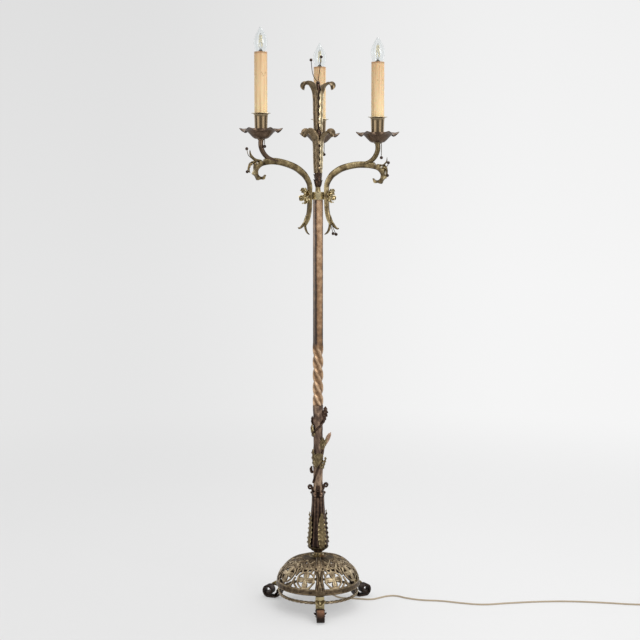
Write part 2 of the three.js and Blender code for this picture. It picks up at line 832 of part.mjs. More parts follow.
function addCandle(arm) {
  const candle = new THREE.Group();
  const heading = headingOf(arm.azimuth);
  candle.position.set(armReach * Math.cos(heading), armReach * Math.sin(heading), bandBottom + arm.panRise);
  lamp.add(candle);

  const sleeveBottom = cupHeight - sleeveSeat + gap;
  const sleeveTop = cupHeight + arm.sleeve;
  const socketTop = sleeveTop - 2;
  const socketBottom = socketTop - socketHeight;
  const wellFloor = socketTop - capHeight - 2;
  const capBase = wellFloor + gap;
  const capTop = capBase + capHeight;
  const glassBottom = capTop + gap;
  const bulbTip = sleeveTop + arm.bulb;

  add("drip_pan_" + arm.name, panGeometry(arm), "bronze", candle);
  add("candle_cup_" + arm.name, cupGeometry(arm), "brass", candle);
  add(
    "candle_sleeve_" + arm.name,
    tube(sleeveRadius - sleeveWall, sleeveRadius, sleeveBottom, sleeveTop, 12),
    "wax",
    candle,
  );
  add(
    "socket_" + arm.name,
    turned(
      loop([
        [pipeBore, -panDepth],
        [pipeRadius, -panDepth],
        [pipeRadius, socketBottom],
        [socketRadius, socketBottom],
        [socketRadius, socketTop],
        [capRadius + 0.7, socketTop],
        [capRadius + 0.7, wellFloor],
        [pipeBore, wellFloor],
      ]),
      12,
    ),
    "steel",
    candle,
  );
  add(
    "bulb_cap_" + arm.name,
    turned(
      [
        [0, capBase],
        [5, capBase],
        [capRadius, capBase + 4],
        [capRadius, capTop],
        [capRadius - 1, capTop],
        [capRadius - 1, capBase + 5],
        [0, capBase + 3],
      ],
      12,
    ),
    "brightBrass",
    candle,
  );
  add(
    "bulb_glass_" + arm.name,
    turned(
      [
        ...[[capRadius - 2, glassBottom], [capRadius - 0.4, glassBottom], [capRadius + 1, sleeveTop + 6]],
        ...[[bulbRadius, sleeveTop + 21], [bulbRadius - 1.5, sleeveTop + 35]],
        ...[[bulbRadius - 8, sleeveTop + 51], [2.6, bulbTip - 2], [0, bulbTip], [0, bulbTip - 3]],
        ...[[bulbRadius - 8.1 - glassWall, sleeveTop + 50.5]],
        ...[[bulbRadius - 1.5 - glassWall, sleeveTop + 34.5], [bulbRadius - glassWall, sleeveTop + 21]],
        ...[[capRadius, sleeveTop + 6.5], [capRadius - 2, glassBottom]],
      ],
      12,
    ),
    "glass",
    candle,
  );
  const chainTop = socketBottom - gap;
  const chainEnd = -panDepth - arm.chain;
  const chainLength = chainTop - chainEnd;
  const chain = new THREE.CylinderGeometry(chainRadius, chainRadius, chainLength, 6).rotateX(Math.PI / 2);
  const ball = new THREE.SphereGeometry(chainBall, 6, 5).translate(0, 0, chainEnd);
  add(
    "pull_chain_" + arm.name,
    joined(chain.translate(0, 0, (chainTop + chainEnd) / 2), ball).translate(...arm.chainAt, 0),
    "steel",
    candle,
  );
}
for (const arm of arms) addCandle(arm);

// Cord: the bushing under the pipe, the free run, the coil of the rest, its tie, the tail and the plug
const bushingTop = pipeBottom - gap;
const bushingBottom = bushingTop - bushingLength;
const bushingOutline = [
  [0, bushingBottom],
  [3.4, bushingBottom],
  [pipeRadius, bushingTop],
  [0, bushingTop],
];
add("cord_bushing", turned(bushingOutline, 10), "iron", cords);

const cordSection = polygon(cordRadius, 8, Math.PI / 8);
const runCurve = spaceCurve(cordRoute);
add("cord_run", swept(cordSection, runCurve, 70), "cord", cords);

// The coil's centre line: in on the lower layer, out on the upper one, climbing in the half turn between
const coilSpread = (coilPitch * coilTurnsPerLayer) / 2;
const coilOuter = coilMiddleRadius + coilSpread;
const coilInner = coilMiddleRadius - coilSpread;
const coilCentre = [coilStart[0] + cordDiameter, coilStart[1] + coilOuter];

function coilPoint(turns) {
  const fromReversal = turns - coilTurnsPerLayer;
  const radius = coilInner + coilPitch * Math.abs(fromReversal);
  const climb = THREE.MathUtils.smoothstep(fromReversal, -0.25, 0.25);
  const angle = 2 * Math.PI * turns - Math.PI / 2;
  return new THREE.Vector3(
    coilCentre[0] + radius * Math.cos(angle),
    coilCentre[1] + radius * Math.sin(angle),
    coilStart[2] + coilPitch * climb,
  );
}

const coilSteps = 2 * coilTurnsPerLayer * coilStepsPerTurn;
const coilLine = Array.from({ length: coilSteps + 1 }, (_, i) => coilPoint(i / coilStepsPerTurn));
const coilEnd = coilLine[coilSteps];
const coilPath = [
  new THREE.Vector3(...coilStart),
  ...coilLine,
  new THREE.Vector3(coilEnd.x + cordDiameter, coilEnd.y, coilEnd.z),
];

// One unbroken tube round a list of points, closed at both ends
function tubeThrough(points, radius, sides) {
  const up = new THREE.Vector3(0, 0, 1);
  const vertices = [];
  const faces = [];
  points.forEach((point, i) => {
    const before = points[Math.max(i - 1, 0)];
    const after = points[Math.min(i + 1, points.length - 1)];
    const forward = after.clone().sub(before).normalize();
    const side = forward.clone().cross(up).normalize();
    const top = side.clone().cross(forward);
    for (let k = 0; k < sides; k++) {
      const angle = (2 * Math.PI * k) / sides;
      const corner = point.clone().addScaledVector(side, radius * Math.cos(angle));
      vertices.push(...corner.addScaledVector(top, radius * Math.sin(angle)).toArray());
    }
  });
  const last = sides * (points.length - 1);
  for (let i = 0; i < points.length - 1; i++)
    for (let k = 0; k < sides; k++) {
      const a = sides * i + k;
      const b = sides * i + ((k + 1) % sides);
      faces.push(a, a + sides, b, b, a + sides, b + sides);
    }
  for (let k = 1; k < sides - 1; k++) faces.push(0, k, k + 1, last, last + k + 1, last + k);
  const geometry = new THREE.BufferGeometry();
  geometry.setAttribute("position", new THREE.Float32BufferAttribute(vertices, 3));
  geometry.setIndex(faces);
  return geometry;
}

function leastGap(points, apart) {
  let least = Infinity;
  for (let i = 0; i < points.length; i++)
    for (let j = i + apart; j < points.length; j++) least = Math.min(least, points[i].distanceTo(points[j]));
  return least - cordDiameter;
}
add("cord_coil", tubeThrough(coilPath, cordRadius, 6), "cord", cords);

function cordTie() {
  const room = 0.8;
  const low = coilInner - cordRadius - room;
  const high = coilOuter - coilPitch / 2 + cordRadius + room;
  const under = coilStart[2] - cordRadius - gap;
  const over = coilStart[2] + coilPitch + cordRadius + gap;
  const band = new THREE.Shape();
  band.moveTo(low - tieThickness, under - tieThickness);
  band.lineTo(high + tieThickness, under - tieThickness);
  band.lineTo(high + tieThickness, over + tieThickness);
  band.lineTo(low - tieThickness, over + tieThickness);
  const hole = new THREE.Path();
  hole.moveTo(low, under);
  hole.lineTo(low, over);
  hole.lineTo(high, over);
  hole.lineTo(high, under);
  band.holes.push(hole);
  const loopShape = new THREE.ExtrudeGeometry(band, { depth: tieWidth, bevelEnabled: false });
  loopShape.translate(0, 0, -tieWidth / 2).rotateX(Math.PI / 2).rotateZ(Math.PI / 2);
  return loopShape.translate(coilCentre[0], coilCentre[1], 0);
}
add("cord_tie", cordTie(), "iron", cords);

const tailCurve = spaceCurve(tailRoute);
add("cord_tail", swept(cordSection, tailCurve, 6), "cord", cords);

// Drawn along +X: neck, body and two flat blades, each let 1 mm into the one before it
function plug() {
  const lap = 1;
  const neck = new THREE.CylinderGeometry(plugHeight / 2 - 1, 3, plugNeck, 8).rotateZ(-Math.PI / 2);
  const body = new THREE.BoxGeometry(plugLength, plugWidth, plugHeight);
  const bodyStart = plugNeck - lap;
  const bladeStart = bodyStart + plugLength - lap;
  const blade = (side) =>
    new THREE.BoxGeometry(bladeLength, bladeThickness, bladeWidth).translate(
      bladeStart + bladeLength / 2,
      (side * bladeSpacing) / 2,
      0,
    );
  return joined(
    neck.translate(plugNeck / 2, 0, 0),
    body.translate(bodyStart + plugLength / 2, 0, 0),
    blade(-1),
    blade(1),
  );
}
const tailEnd = tailCurve.getPointAt(1);
const tailHeading = tailCurve.getTangentAt(1);
const plugMesh = add("plug", plug(), "iron", cords);
plugMesh.position.copy(tailEnd).addScaledVector(tailHeading, gap);
plugMesh.rotation.z = Math.atan2(tailHeading.y, tailHeading.x);

// The origin is the middle of the lamp's own box, on the floor, with the cord left out of that box
const part = new THREE.Group();
part.add(lamp, cords);
lamp.updateMatrixWorld(true);
const box = new THREE.Box3().setFromObject(lamp, true);
const middle = box.getCenter(new THREE.Vector3());
part.position.set(-middle.x, -middle.y, -box.min.z);

const coilLength = new THREE.CatmullRomCurve3(coilPath, false, "centripetal").getLength();
const cordLength = runCurve.getLength() + coilLength + tailCurve.getLength();
console.log("least gap between the coil's loops", leastGap(coilLine, coilStepsPerTurn / 2).toFixed(2), "mm");
console.log("cord length", cordLength.toFixed(0), "mm, of which in the coil", coilLength.toFixed(0), "mm");
console.log("stem axis at", ...part.position.toArray().map((value) => value.toFixed(3)));

export default part;
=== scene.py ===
# %% [markdown]
# # A candelabra floor lamp
#
# The lamp is a stack of cast and forged pieces on one threaded pipe: a pierced dome on three scroll feet,
# a fluted vase, a stem with a vine, a square shaft twisted at its foot, a brass band with three arms, and
# three electric candles. The frame holds each piece at its true size. This file gives each its fine surface.
#
# The scene is in metres. The pieces are drawn in millimetres, as a maker would, and mm converts them.

# %% Load the frame
import bpy
import numpy as np
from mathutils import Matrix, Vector


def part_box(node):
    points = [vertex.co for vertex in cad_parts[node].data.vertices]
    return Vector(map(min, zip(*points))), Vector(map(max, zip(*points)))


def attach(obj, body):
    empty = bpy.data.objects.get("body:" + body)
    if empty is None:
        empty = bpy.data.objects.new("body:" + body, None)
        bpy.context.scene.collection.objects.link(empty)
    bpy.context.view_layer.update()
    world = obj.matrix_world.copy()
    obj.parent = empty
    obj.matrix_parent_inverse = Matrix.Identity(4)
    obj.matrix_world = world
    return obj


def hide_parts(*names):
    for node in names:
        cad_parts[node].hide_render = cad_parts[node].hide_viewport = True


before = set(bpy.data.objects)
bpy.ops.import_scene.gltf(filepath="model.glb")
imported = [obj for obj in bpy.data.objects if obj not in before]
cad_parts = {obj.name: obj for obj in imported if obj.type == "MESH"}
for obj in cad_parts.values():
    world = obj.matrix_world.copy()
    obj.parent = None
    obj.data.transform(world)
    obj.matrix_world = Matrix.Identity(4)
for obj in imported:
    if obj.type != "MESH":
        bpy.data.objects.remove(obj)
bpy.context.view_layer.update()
mm = 0.001
print("pieces in the frame:", len(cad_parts))

# %% [markdown]
# ## The stem's axis
#
# The lamp is almost all rotation about one line. Its pipe gives that line, so every later piece is drawn
# about x = y = 0 and carried to the pipe at the end.

# %% Find the stem's axis
pipe_low, pipe_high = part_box("centre_pipe")
stem_axis = np.array([(pipe_low.x + pipe_high.x) / 2, (pipe_low.y + pipe_high.y) / 2, 0.0])
print("stem axis at", stem_axis.round(4))


def span(node):
    """The lowest and highest z of a piece of the frame, in millimetres."""
    low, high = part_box(node)
    return low.z / mm, high.z / mm


def middle(node):
    """The point on the floor under the middle of a piece of the frame."""
    low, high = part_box(node)
    return np.array([(low.x + high.x) / 2, (low.y + high.y) / 2, 0.0])


def toward(azimuth):
    """The bearing, in radians from +X, of an azimuth counted in degrees from the front towards +X."""
    return np.radians(azimuth - 90)


def around(count):
    """The angles of a number of even steps round a circle."""
    return np.linspace(0, 2 * np.pi, count + 1)[:-1]


def polar(radius, angle, height):
    """Points at a distance from the upright axis, an angle from +X and a height."""
    return np.stack(np.broadcast_arrays(radius * np.cos(angle), radius * np.sin(angle), height), -1)


# %% [markdown]
# ## The camera
#
# The photograph was taken from a good three metres away with a long lens, a little above the middle of
# the lamp and tilted down. The scroll feet, the pans and the candles fix those numbers.

# %% Set the camera
camera_distance = 3.42
camera_height = 1.114
camera_aside = 5.3 * mm
camera_tilt = np.radians(90 - 5.71)
lens = 73.1

camera = bpy.data.objects.new("camera", bpy.data.cameras.new("camera"))
camera.data.lens = lens
camera.location = stem_axis + np.array([camera_aside, -camera_distance, camera_height])
camera.rotation_euler = (camera_tilt, 0, 0)
bpy.context.scene.collection.objects.link(camera)
bpy.context.scene.camera = camera

# %% [markdown]
# ## The cord
#
# A lamp cord is a fixed length of limp vinyl lead. It leaves the pipe under the dome, drops to the floor,
# passes between the feet and lies in a loose line. What the picture does not show is wound in a neat coil.
# A curve object with a round bevel keeps its thickness and its length, which a stretched mesh would not.

# %% The cord's route, from the pipe to the coil
cord_diameter = 4.5 * mm
cord_run = np.array([
    [0, 0, 65.4], [0, 0, 58], [3, 2, 49], [10, 6.5, 40], [20, 13, 32], [31, 20, 24.5], [43, 28, 16],
    [55, 36, 8], [68, 42, 3.4], [84, 44, 2.4], [115, 38, 2.4], [147, 35, 2.4], [170, 49, 2.4],
    [191, 63, 2.4], [214, 65, 2.4], [240, 47, 2.4], [280, 29, 2.4], [336, 20, 2.4], [389, 2, 2.4],
    [440, -10, 2.4], [516, 2, 2.4], [600, 14, 2.4], [690, 16, 2.4], [780, 4, 2.4], [850, -9, 2.4],
    [895, -12, 3], [919.9, -12, 3.5],
]) * mm
cord_tail = np.array([
    [934, -12, 8.45], [943, -13.5, 8.2], [953, -18, 7.9], [965, -25, 7.6], [974, -31, 7.5],
]) * mm

# %% The coil, in on the lower layer and out on the upper one
turns_per_layer = 3.5
coil_pitch = 4.95 * mm
coil_middle = 27 * mm
coil_start = np.array([920.2, -12, 3.5]) * mm
coil_half = coil_pitch * turns_per_layer / 2
coil_centre = coil_start[:2] + [cord_diameter, coil_middle + coil_half]


def coil_line(steps_per_turn=20):
    """Points of the coil: the radius shrinks by a pitch each turn to the reversal, then grows again, and
    the height rises by a pitch in the half turn round the reversal."""
    turns = np.linspace(0, 2 * turns_per_layer, int(2 * turns_per_layer * steps_per_turn) + 1)
    past = turns - turns_per_layer
    radius = coil_middle - coil_half + coil_pitch * np.abs(past)
    climb = np.clip((past + 0.25) / 0.5, 0, 1)
    height = coil_start[2] + coil_pitch * climb**2 * (3 - 2 * climb)
    angle = 2 * np.pi * turns - np.pi / 2
    return polar(radius, angle, height) + [*coil_centre, 0]


# %% Make the cord as one curve
cord_points = np.concatenate([cord_run, coil_line(), cord_tail]) + stem_axis
cord_curve = bpy.data.curves.new("cord", "CURVE")
cord_curve.dimensions = "3D"
cord_curve.bevel_depth = 1.0
cord_curve.bevel_resolution = 4
cord_curve.resolution_u = 5
cord_curve.use_fill_caps = True
cord_spline = cord_curve.splines.new("BEZIER")
cord_spline.bezier_points.add(len(cord_points) - 1)
cord_spline.bezier_points.foreach_set("co", cord_points.ravel())
for point in cord_spline.bezier_points:
    point.handle_left_type = point.handle_right_type = "AUTO"
    point.radius = cord_diameter / 2
cord = bpy.data.objects.new("cord", cord_curve)
bpy.context.scene.collection.objects.link(cord)
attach(cord, "root")
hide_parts("cord_run", "cord_coil", "cord_tail")

# %% [markdown]
# ## The floor and the light
#
# The studio is white paper. The floor is a wide disc that catches the lamp's soft shadow near the feet and
# fades to the colour of the paper behind, so no horizon shows. Polished metal shows what stands round it,
# so the world holds tall pale panels with darker gaps for glossy rays, as a studio hung with soft boxes has.

# %% Helpers for node trees
def tree_of(material):
    """An emptied node tree of a material or world."""
    material.use_nodes = True
    material.node_tree.nodes.clear()
    return material.node_tree


def node(tree, kind, *wired, **values):
    """A new node. The wired values go to its inputs in order. A name that an input has sets that input, and
    any other name sets the node's property. A value that is another node's output is linked."""
    made = tree.nodes.new(kind)
    for name, value in [*values.items(), *enumerate(wired)]:
        socket = made.inputs[name] if isinstance(name, int) else made.inputs.get(name.replace("_", " "))
        if socket is None:
            setattr(made, name, value)
        elif isinstance(value, bpy.types.NodeSocket):
            tree.links.new(value, socket)
        else:
            socket.default_value = value
    return made


def sums(tree, operation, first, second=0.0):
    """A maths node on one or two values, each an output or a number."""
    return node(tree, "ShaderNodeMath", first, second, operation=operation).outputs[0]


def eased(tree, value, low, high, start, end):
    """A value mapped smoothly from the range low to high onto start to end, and held beyond it."""
    made = node(tree, "ShaderNodeMapRange", value, low, high, start, end, interpolation_type="SMOOTHSTEP")
    return made.outputs["Result"]


# %% Floor disc
floor_radius = 12.0
floor_edge = camera_height / (floor_radius + camera_distance)
fade_start = 0.9
fade_end = 3.2
paper_left = 0.785
paper_right = 0.915
paper_edge = 0.17
paper_glow = 0.42
paper_tone = 0.74


def paper_level(tree, aside, ahead, nearest):
    """The level of the paper behind the lamp at a place aside and ahead. It is lighter to the right, painted
    light from the key lamp's side.
    """
    bearing = sums(tree, "DIVIDE", aside, sums(tree, "MAXIMUM", sums(tree, "ABSOLUTE", ahead), nearest))
    return eased(tree, bearing, -paper_edge, paper_edge, paper_left, paper_right)


def floor_finish():
    """White paper near the lamp, partly aglow so that shadows stay soft, and plain light of the backdrop's
    colour further off. Polished metal sees that light at half its strength, like the dark end of a studio."""
    material = bpy.data.materials.new("white_paper")
    tree = tree_of(material)
    place = node(tree, "ShaderNodeTexCoord").outputs["Object"]
    distance = node(tree, "ShaderNodeVectorMath", place, operation="LENGTH").outputs["Value"]
    fade = eased(tree, distance, fade_start, fade_end, paper_glow, 1.0)
    glossy = node(tree, "ShaderNodeLightPath").outputs["Is Glossy Ray"]
    strength = sums(tree, "ADD", sums(tree, "MULTIPLY", glossy, -0.5), 1.0)
    x, y, z = node(tree, "ShaderNodeSeparateXYZ", place).outputs
    level = paper_level(tree, x, sums(tree, "ADD", y, camera_distance), 1.0)
    paper = node(tree, "ShaderNodeBsdfDiffuse", (paper_tone, paper_tone, paper_tone, 1))
    far = node(tree, "ShaderNodeEmission", level, strength)
    mix = node(tree, "ShaderNodeMixShader", fade, paper.outputs[0], far.outputs[0])
    node(tree, "ShaderNodeOutputMaterial", mix.outputs[0])
    return material


floor_rim = polar(floor_radius, around(64), 0)
floor_mesh = bpy.data.meshes.new("floor")
floor_mesh.from_pydata(floor_rim.tolist(), [], [list(range(len(floor_rim)))])
floor_mesh.materials.append(floor_finish())
floor = bpy.data.objects.new("floor", floor_mesh)
bpy.context.scene.collection.objects.link(floor)


# %% World: plain light, a pale backdrop, and soft boxes that only polished metal sees
panel_count = 4
panel_levels = (0.35, -0.75, 0.25, 1.6)
light_levels = (-0.9, 0.9, 0.6, 1.0)
paper_fall = 0.2
nearest_bearing = 0.2


def studio_world():
    """Diffuse rays get a level that rises from left to right. Camera rays, and rays that have passed through
    glass, get paper with painted shade, darker to the left and towards the top. Glossy rays get upright
    panels, at the troughs of a cosine of the bearing."""
    world = bpy.data.worlds.new("studio")
    tree = tree_of(world)
    place = node(tree, "ShaderNodeTexCoord").outputs["Generated"]
    x, y, z = node(tree, "ShaderNodeSeparateXYZ", place).outputs
    rise = sums(tree, "MAXIMUM", sums(tree, "ADD", z, floor_edge), 0.0)
    fall = sums(tree, "MULTIPLY", rise, paper_fall)
    backdrop = sums(tree, "SUBTRACT", paper_level(tree, x, y, nearest_bearing), fall)
    wave = sums(tree, "COSINE", sums(tree, "MULTIPLY", sums(tree, "ARCTAN2", x, y), panel_count))
    levels = [eased(tree, x, *light_levels), eased(tree, wave, *panel_levels), backdrop]
    even_light, panels, paper = (node(tree, "ShaderNodeBackground", level).outputs[0] for level in levels)
    rays = node(tree, "ShaderNodeLightPath").outputs
    through_glass = sums(tree, "MINIMUM", rays["Transmission Depth"], 1.0)
    seen = sums(tree, "MAXIMUM", rays["Is Camera Ray"], through_glass)
    unseen = node(tree, "ShaderNodeMixShader", rays["Is Glossy Ray"], even_light, panels)
    mix = node(tree, "ShaderNodeMixShader", seen, unseen.outputs[0], paper)
    node(tree, "ShaderNodeOutputWorld", mix.outputs[0])
    return world


bpy.context.scene.world = studio_world()
bpy.context.scene.view_settings.view_transform = "Standard"


# %% Lamps: a large key from the upper right, a fill from the left and one overhead
aim_height = 0.8


def soft_light(name, place, size, power):
    """A square area lamp that faces the middle of the lamp's height."""
    light = bpy.data.lights.new(name, "AREA")
    light.size = size
    light.energy = power
    lamp = bpy.data.objects.new(name, light)
    lamp.location = stem_axis + np.array(place)
    aim = Vector(stem_axis + np.array([0, 0, aim_height])) - lamp.location
    lamp.rotation_mode = "QUATERNION"
    lamp.rotation_quaternion = aim.to_track_quat("-Z", "Y")
    bpy.context.scene.collection.objects.link(lamp)
    return lamp


soft_light("key_light", (2.1, -2.6, 2.4), 1.8, 40)
soft_light("fill_light", (-2.6, -1.9, 1.9), 1.8, 6)
soft_light("top_light", (0.3, 0.6, 3.2), 2.0, 24)

# %% [markdown]
# ## Surfaces from numpy
#
# Each piece below is a function of two parameters on a grid: a profile turned about the axis, a section
# carried along a line, or a leaf whose outline and veins are formulas. One helper turns a grid of points
# into a closed shell, and a second joins shells into a named piece.

# %% Turn a grid of points into a closed shell
def shell(points, relief=None, closed_along=False):
    """Faces for a grid of points, rows along the piece and columns round it. The columns always close on
    themselves. The rows close too, as on a ring, or each end gets a fan of triangles from its middle."""
    rows, columns = points.shape[:2]
    vertices = points.reshape(-1, 3)
    relief = np.full((rows, columns), 0.5) if relief is None else np.broadcast_to(relief, (rows, columns))
    relief = relief.reshape(-1)
    index = np.arange(rows * columns).reshape(rows, columns)
    below = index if closed_along else index[:-1]
    above = np.roll(index, -1, axis=0) if closed_along else index[1:]
    corners = [below, np.roll(below, -1, axis=1), np.roll(above, -1, axis=1), above]
    quads = np.stack(corners, -1).reshape(-1, 4)
    triangles = np.zeros((0, 3), int)
    if not closed_along:
        ends = [points[0].mean(0), points[-1].mean(0)]
        first, last = rows * columns, rows * columns + 1
        start = np.stack([np.roll(index[0], -1), index[0], np.full(columns, first)], -1)
        finish = np.stack([index[-1], np.roll(index[-1], -1), np.full(columns, last)], -1)
        triangles = np.concatenate([start, finish])
        relief = np.concatenate([relief, [relief[:columns].mean(), relief[-columns:].mean()]])
        vertices = np.concatenate([vertices, ends])
    return facing_out({"points": vertices, "quads": quads, "triangles": triangles, "relief": relief})


def facing_out(part):
    """Turns the faces round if the volume that they enclose, a sum of corner products, is negative."""
    p, q = part["points"], part["quads"]
    both = np.concatenate([q[:, [0, 1, 2]], q[:, [0, 2, 3]], part["triangles"]])
    middle = p.mean(0)
    a, b, c = (p[both[:, i]] - middle for i in range(3))
    if np.einsum("ij,ij->i", a, np.cross(b, c)).sum() < 0:
        part["quads"] = q[:, ::-1]
        part["triangles"] = part["triangles"][:, ::-1]
    return part


def moved(part, offset=(0, 0, 0), bearing=0.0):
    """A copy of a shell turned about the upright axis, by radians, and then shifted."""
    c, s = np.cos(bearing), np.sin(bearing)
    turn = np.array([[c, s, 0], [-s, c, 0], [0, 0, 1]])
    return {**part, "points": part["points"] @ turn + np.asarray(offset)}


def spun(parts, azimuth):
    """Copies of shells that were drawn towards +X, turned to an azimuth."""
    return [moved(part, bearing=toward(azimuth)) for part in parts]


# %% Join shells into one named piece of the lamp
def piece(name, shells, finish, body="root", stands_for=(), at=stem_axis, crease=40):
    """One mesh object from shells drawn in millimetres about at, smooth but for edges sharper than crease
    degrees. Each vertex keeps its relief, from 0 in a recess to 1 on a crest, and its stain of rust."""
    counts = np.cumsum([0] + [len(part["points"]) for part in shells])
    points = np.concatenate([part["points"] for part in shells]) * mm + at
    quads = np.concatenate([part["quads"] + count for part, count in zip(shells, counts)])
    triangles = np.concatenate([part["triangles"] + count for part, count in zip(shells, counts)])
    relief = np.concatenate([part["relief"] for part in shells])
    stain = np.concatenate([part.get("stain", np.zeros(len(part["points"]))) for part in shells])
    loops = np.concatenate([quads.ravel(), triangles.ravel()]).astype(np.int32)
    sizes = np.concatenate([np.full(len(quads), 4), np.full(len(triangles), 3)]).astype(np.int32)
    starts = np.concatenate([[0], np.cumsum(sizes)[:-1]]).astype(np.int32)

    mesh = bpy.data.meshes.new(name)
    mesh.vertices.add(len(points))
    mesh.loops.add(len(loops))
    mesh.polygons.add(len(sizes))
    mesh.vertices.foreach_set("co", points.astype(np.float32).ravel())
    mesh.loops.foreach_set("vertex_index", loops)
    mesh.polygons.foreach_set("loop_start", starts)
    mesh.polygons.foreach_set("use_smooth", np.ones(len(sizes), bool))
    mesh.update(calc_edges=True)
    for label, values in (("relief", relief), ("stain", stain)):
        mesh.attributes.new(label, "FLOAT", "POINT").data.foreach_set("value", values.astype(np.float32))
    mesh.set_sharp_from_angle(angle=np.radians(crease))
    mesh.materials.append(finish)

    made = bpy.data.objects.new(name, mesh)
    bpy.context.scene.collection.objects.link(made)
    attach(made, body)
    if stands_for:
        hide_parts(*stands_for)
    print(name, len(sizes), "faces")
    return made


# %% Lines and sections
def smooth_line(knots, count):
    """A smooth line through knots: each coordinate is a cubic between neighbours whose slope at a knot is
    that of the chord across it. The result has count points at even distances."""
    knots = np.asarray(knots, float)
    ends = [2 * knots[0] - knots[1], 2 * knots[-1] - knots[-2]]
    k = np.concatenate([ends[:1], knots, ends[1:]])
    t = np.linspace(0, 1, 24, endpoint=False)[:, None, None]
    a, b, c, d = k[:-3], k[1:-2], k[2:-1], k[3:]
    curve = 0.5 * (2 * b + (c - a) * t + (2 * a - 5 * b + 4 * c - d) * t**2 + (3 * b - a - 3 * c + d) * t**3)
    curve = np.concatenate([curve.transpose(1, 0, 2).reshape(-1, knots.shape[1]), knots[-1:]])
    return even(curve, count)


def even(line, count):
    """The same line with count points at even distances along it."""
    length = np.concatenate([[0], np.cumsum(np.linalg.norm(np.diff(line, axis=0), axis=1))])
    at = np.linspace(0, length[-1], count)
    return np.stack([np.interp(at, length, line[:, i]) for i in range(line.shape[1])], 1)


def slopes(line):
    """Unit tangents of a line of points."""
    forward = np.gradient(line, axis=0)
    return forward / np.linalg.norm(forward, axis=1, keepdims=True)


def in_plane(pairs):
    """Points in the upright plane through the axis and +X, from (distance, height) pairs."""
    pairs = np.asarray(pairs)
    return np.stack([pairs[:, 0], 0 * pairs[:, 0], pairs[:, 1]], 1)


def turned(profile, segments=96, swell=None, relief=None, closed=True):
    """A profile of (radius, height) pairs turned about the axis. swell(angle, radius, height) may return a
    factor on the radius and a lift. A profile that is not closed starts and ends on the axis."""
    profile = np.asarray(profile, float)
    angle = around(segments)[None, :]
    radius, height = profile[:, :1], profile[:, 1:]
    factor, lift = swell(angle, radius, height) if swell else (1.0, 0.0)
    return shell(polar(radius * factor, angle, height + lift), relief, closed_along=closed)


def swept(line, sections, side=None, relief=None, closed_along=False):
    """Sections carried along a line. Each section is a ring of (across, out) pairs. side is the direction
    of across, for a line that lies in a plane. Without it across is level and square to the line."""
    forward = slopes(line)
    if closed_along:
        forward = np.roll(line, -1, axis=0) - np.roll(line, 1, axis=0)
        forward /= np.linalg.norm(forward, axis=1, keepdims=True)
    across = np.cross(forward, [0.0, 0.0, 1.0]) if side is None else np.broadcast_to(side, line.shape)
    across = across / np.linalg.norm(across, axis=1, keepdims=True)
    out = np.cross(across, forward)
    sections = np.broadcast_to(sections, (len(line),) + np.shape(sections)[-2:])
    points = line[:, None] + sections[..., :1] * across[:, None] + sections[..., 1:] * out[:, None]
    return shell(points, relief, closed_along=closed_along)


def bent(pairs, sections, relief=None):
    """Sections carried along a line of (distance, height) pairs in the upright plane of +X."""
    return swept(in_plane(pairs), sections, side=(0, 1, 0), relief=relief)


def round_section(radius, count=16):
    """A circle of points, or one for each radius of a column of radii."""
    ring = polar(1, around(count), 0)[:, :2]
    return np.asarray(radius)[..., None, None] * ring


def bar_section(width, depth, bevel, per_side=3):
    """A rectangle with bevelled corners and a few points on each side."""
    w, d = width / 2, depth / 2
    corners = [(w, -d + bevel), (w, d - bevel), (w - bevel, d), (-w + bevel, d)]
    corners += [(-w, d - bevel), (-w, -d + bevel), (-w + bevel, -d), (w - bevel, -d)]
    ring = []
    for (x0, y0), (x1, y1) in zip(corners, corners[1:] + corners[:1]):
        steps = per_side if max(abs(x1 - x0), abs(y1 - y0)) > 1.5 * bevel else 1
        ring += [(x0 + (x1 - x0) * i / steps, y0 + (y1 - y0) * i / steps) for i in range(steps)]
    return np.array(ring)


def capped(values):
    """The same rows with the first and the last repeated."""
    return np.pad(values, ((1, 1), (0, 0)), mode="edge")


def rotated(x, y, turn):
    """Sections of (x, y) points, each row turned by its own angle in radians."""
    c, s = np.cos(turn)[:, None], np.sin(turn)[:, None]
    return c * x - s * y, s * x + c * y


def stained(part, place, reach):
    """The same shell with rust that fades from full at place to none at reach."""
    distance = np.linalg.norm(part["points"] - np.asarray(place), axis=1) / reach
    return {**part, "stain": np.clip(1.3 * (1 - distance), 0, 1)}


def ball(radius, place=(0, 0, 0)):
    """A sphere as a half circle turned about its own axis."""
    turn = np.linspace(-np.pi / 2, np.pi / 2, 11)[1:-1]
    profile = np.stack([radius * np.cos(turn), radius * np.sin(turn)], 1)
    return moved(turned(profile, 16, closed=False), place)


def laid(part):
    """A shell that was turned about the upright axis, laid over to point along +X."""
    x, y, z = part["points"].T
    return {**part, "points": np.stack([z, y, -x], 1)}


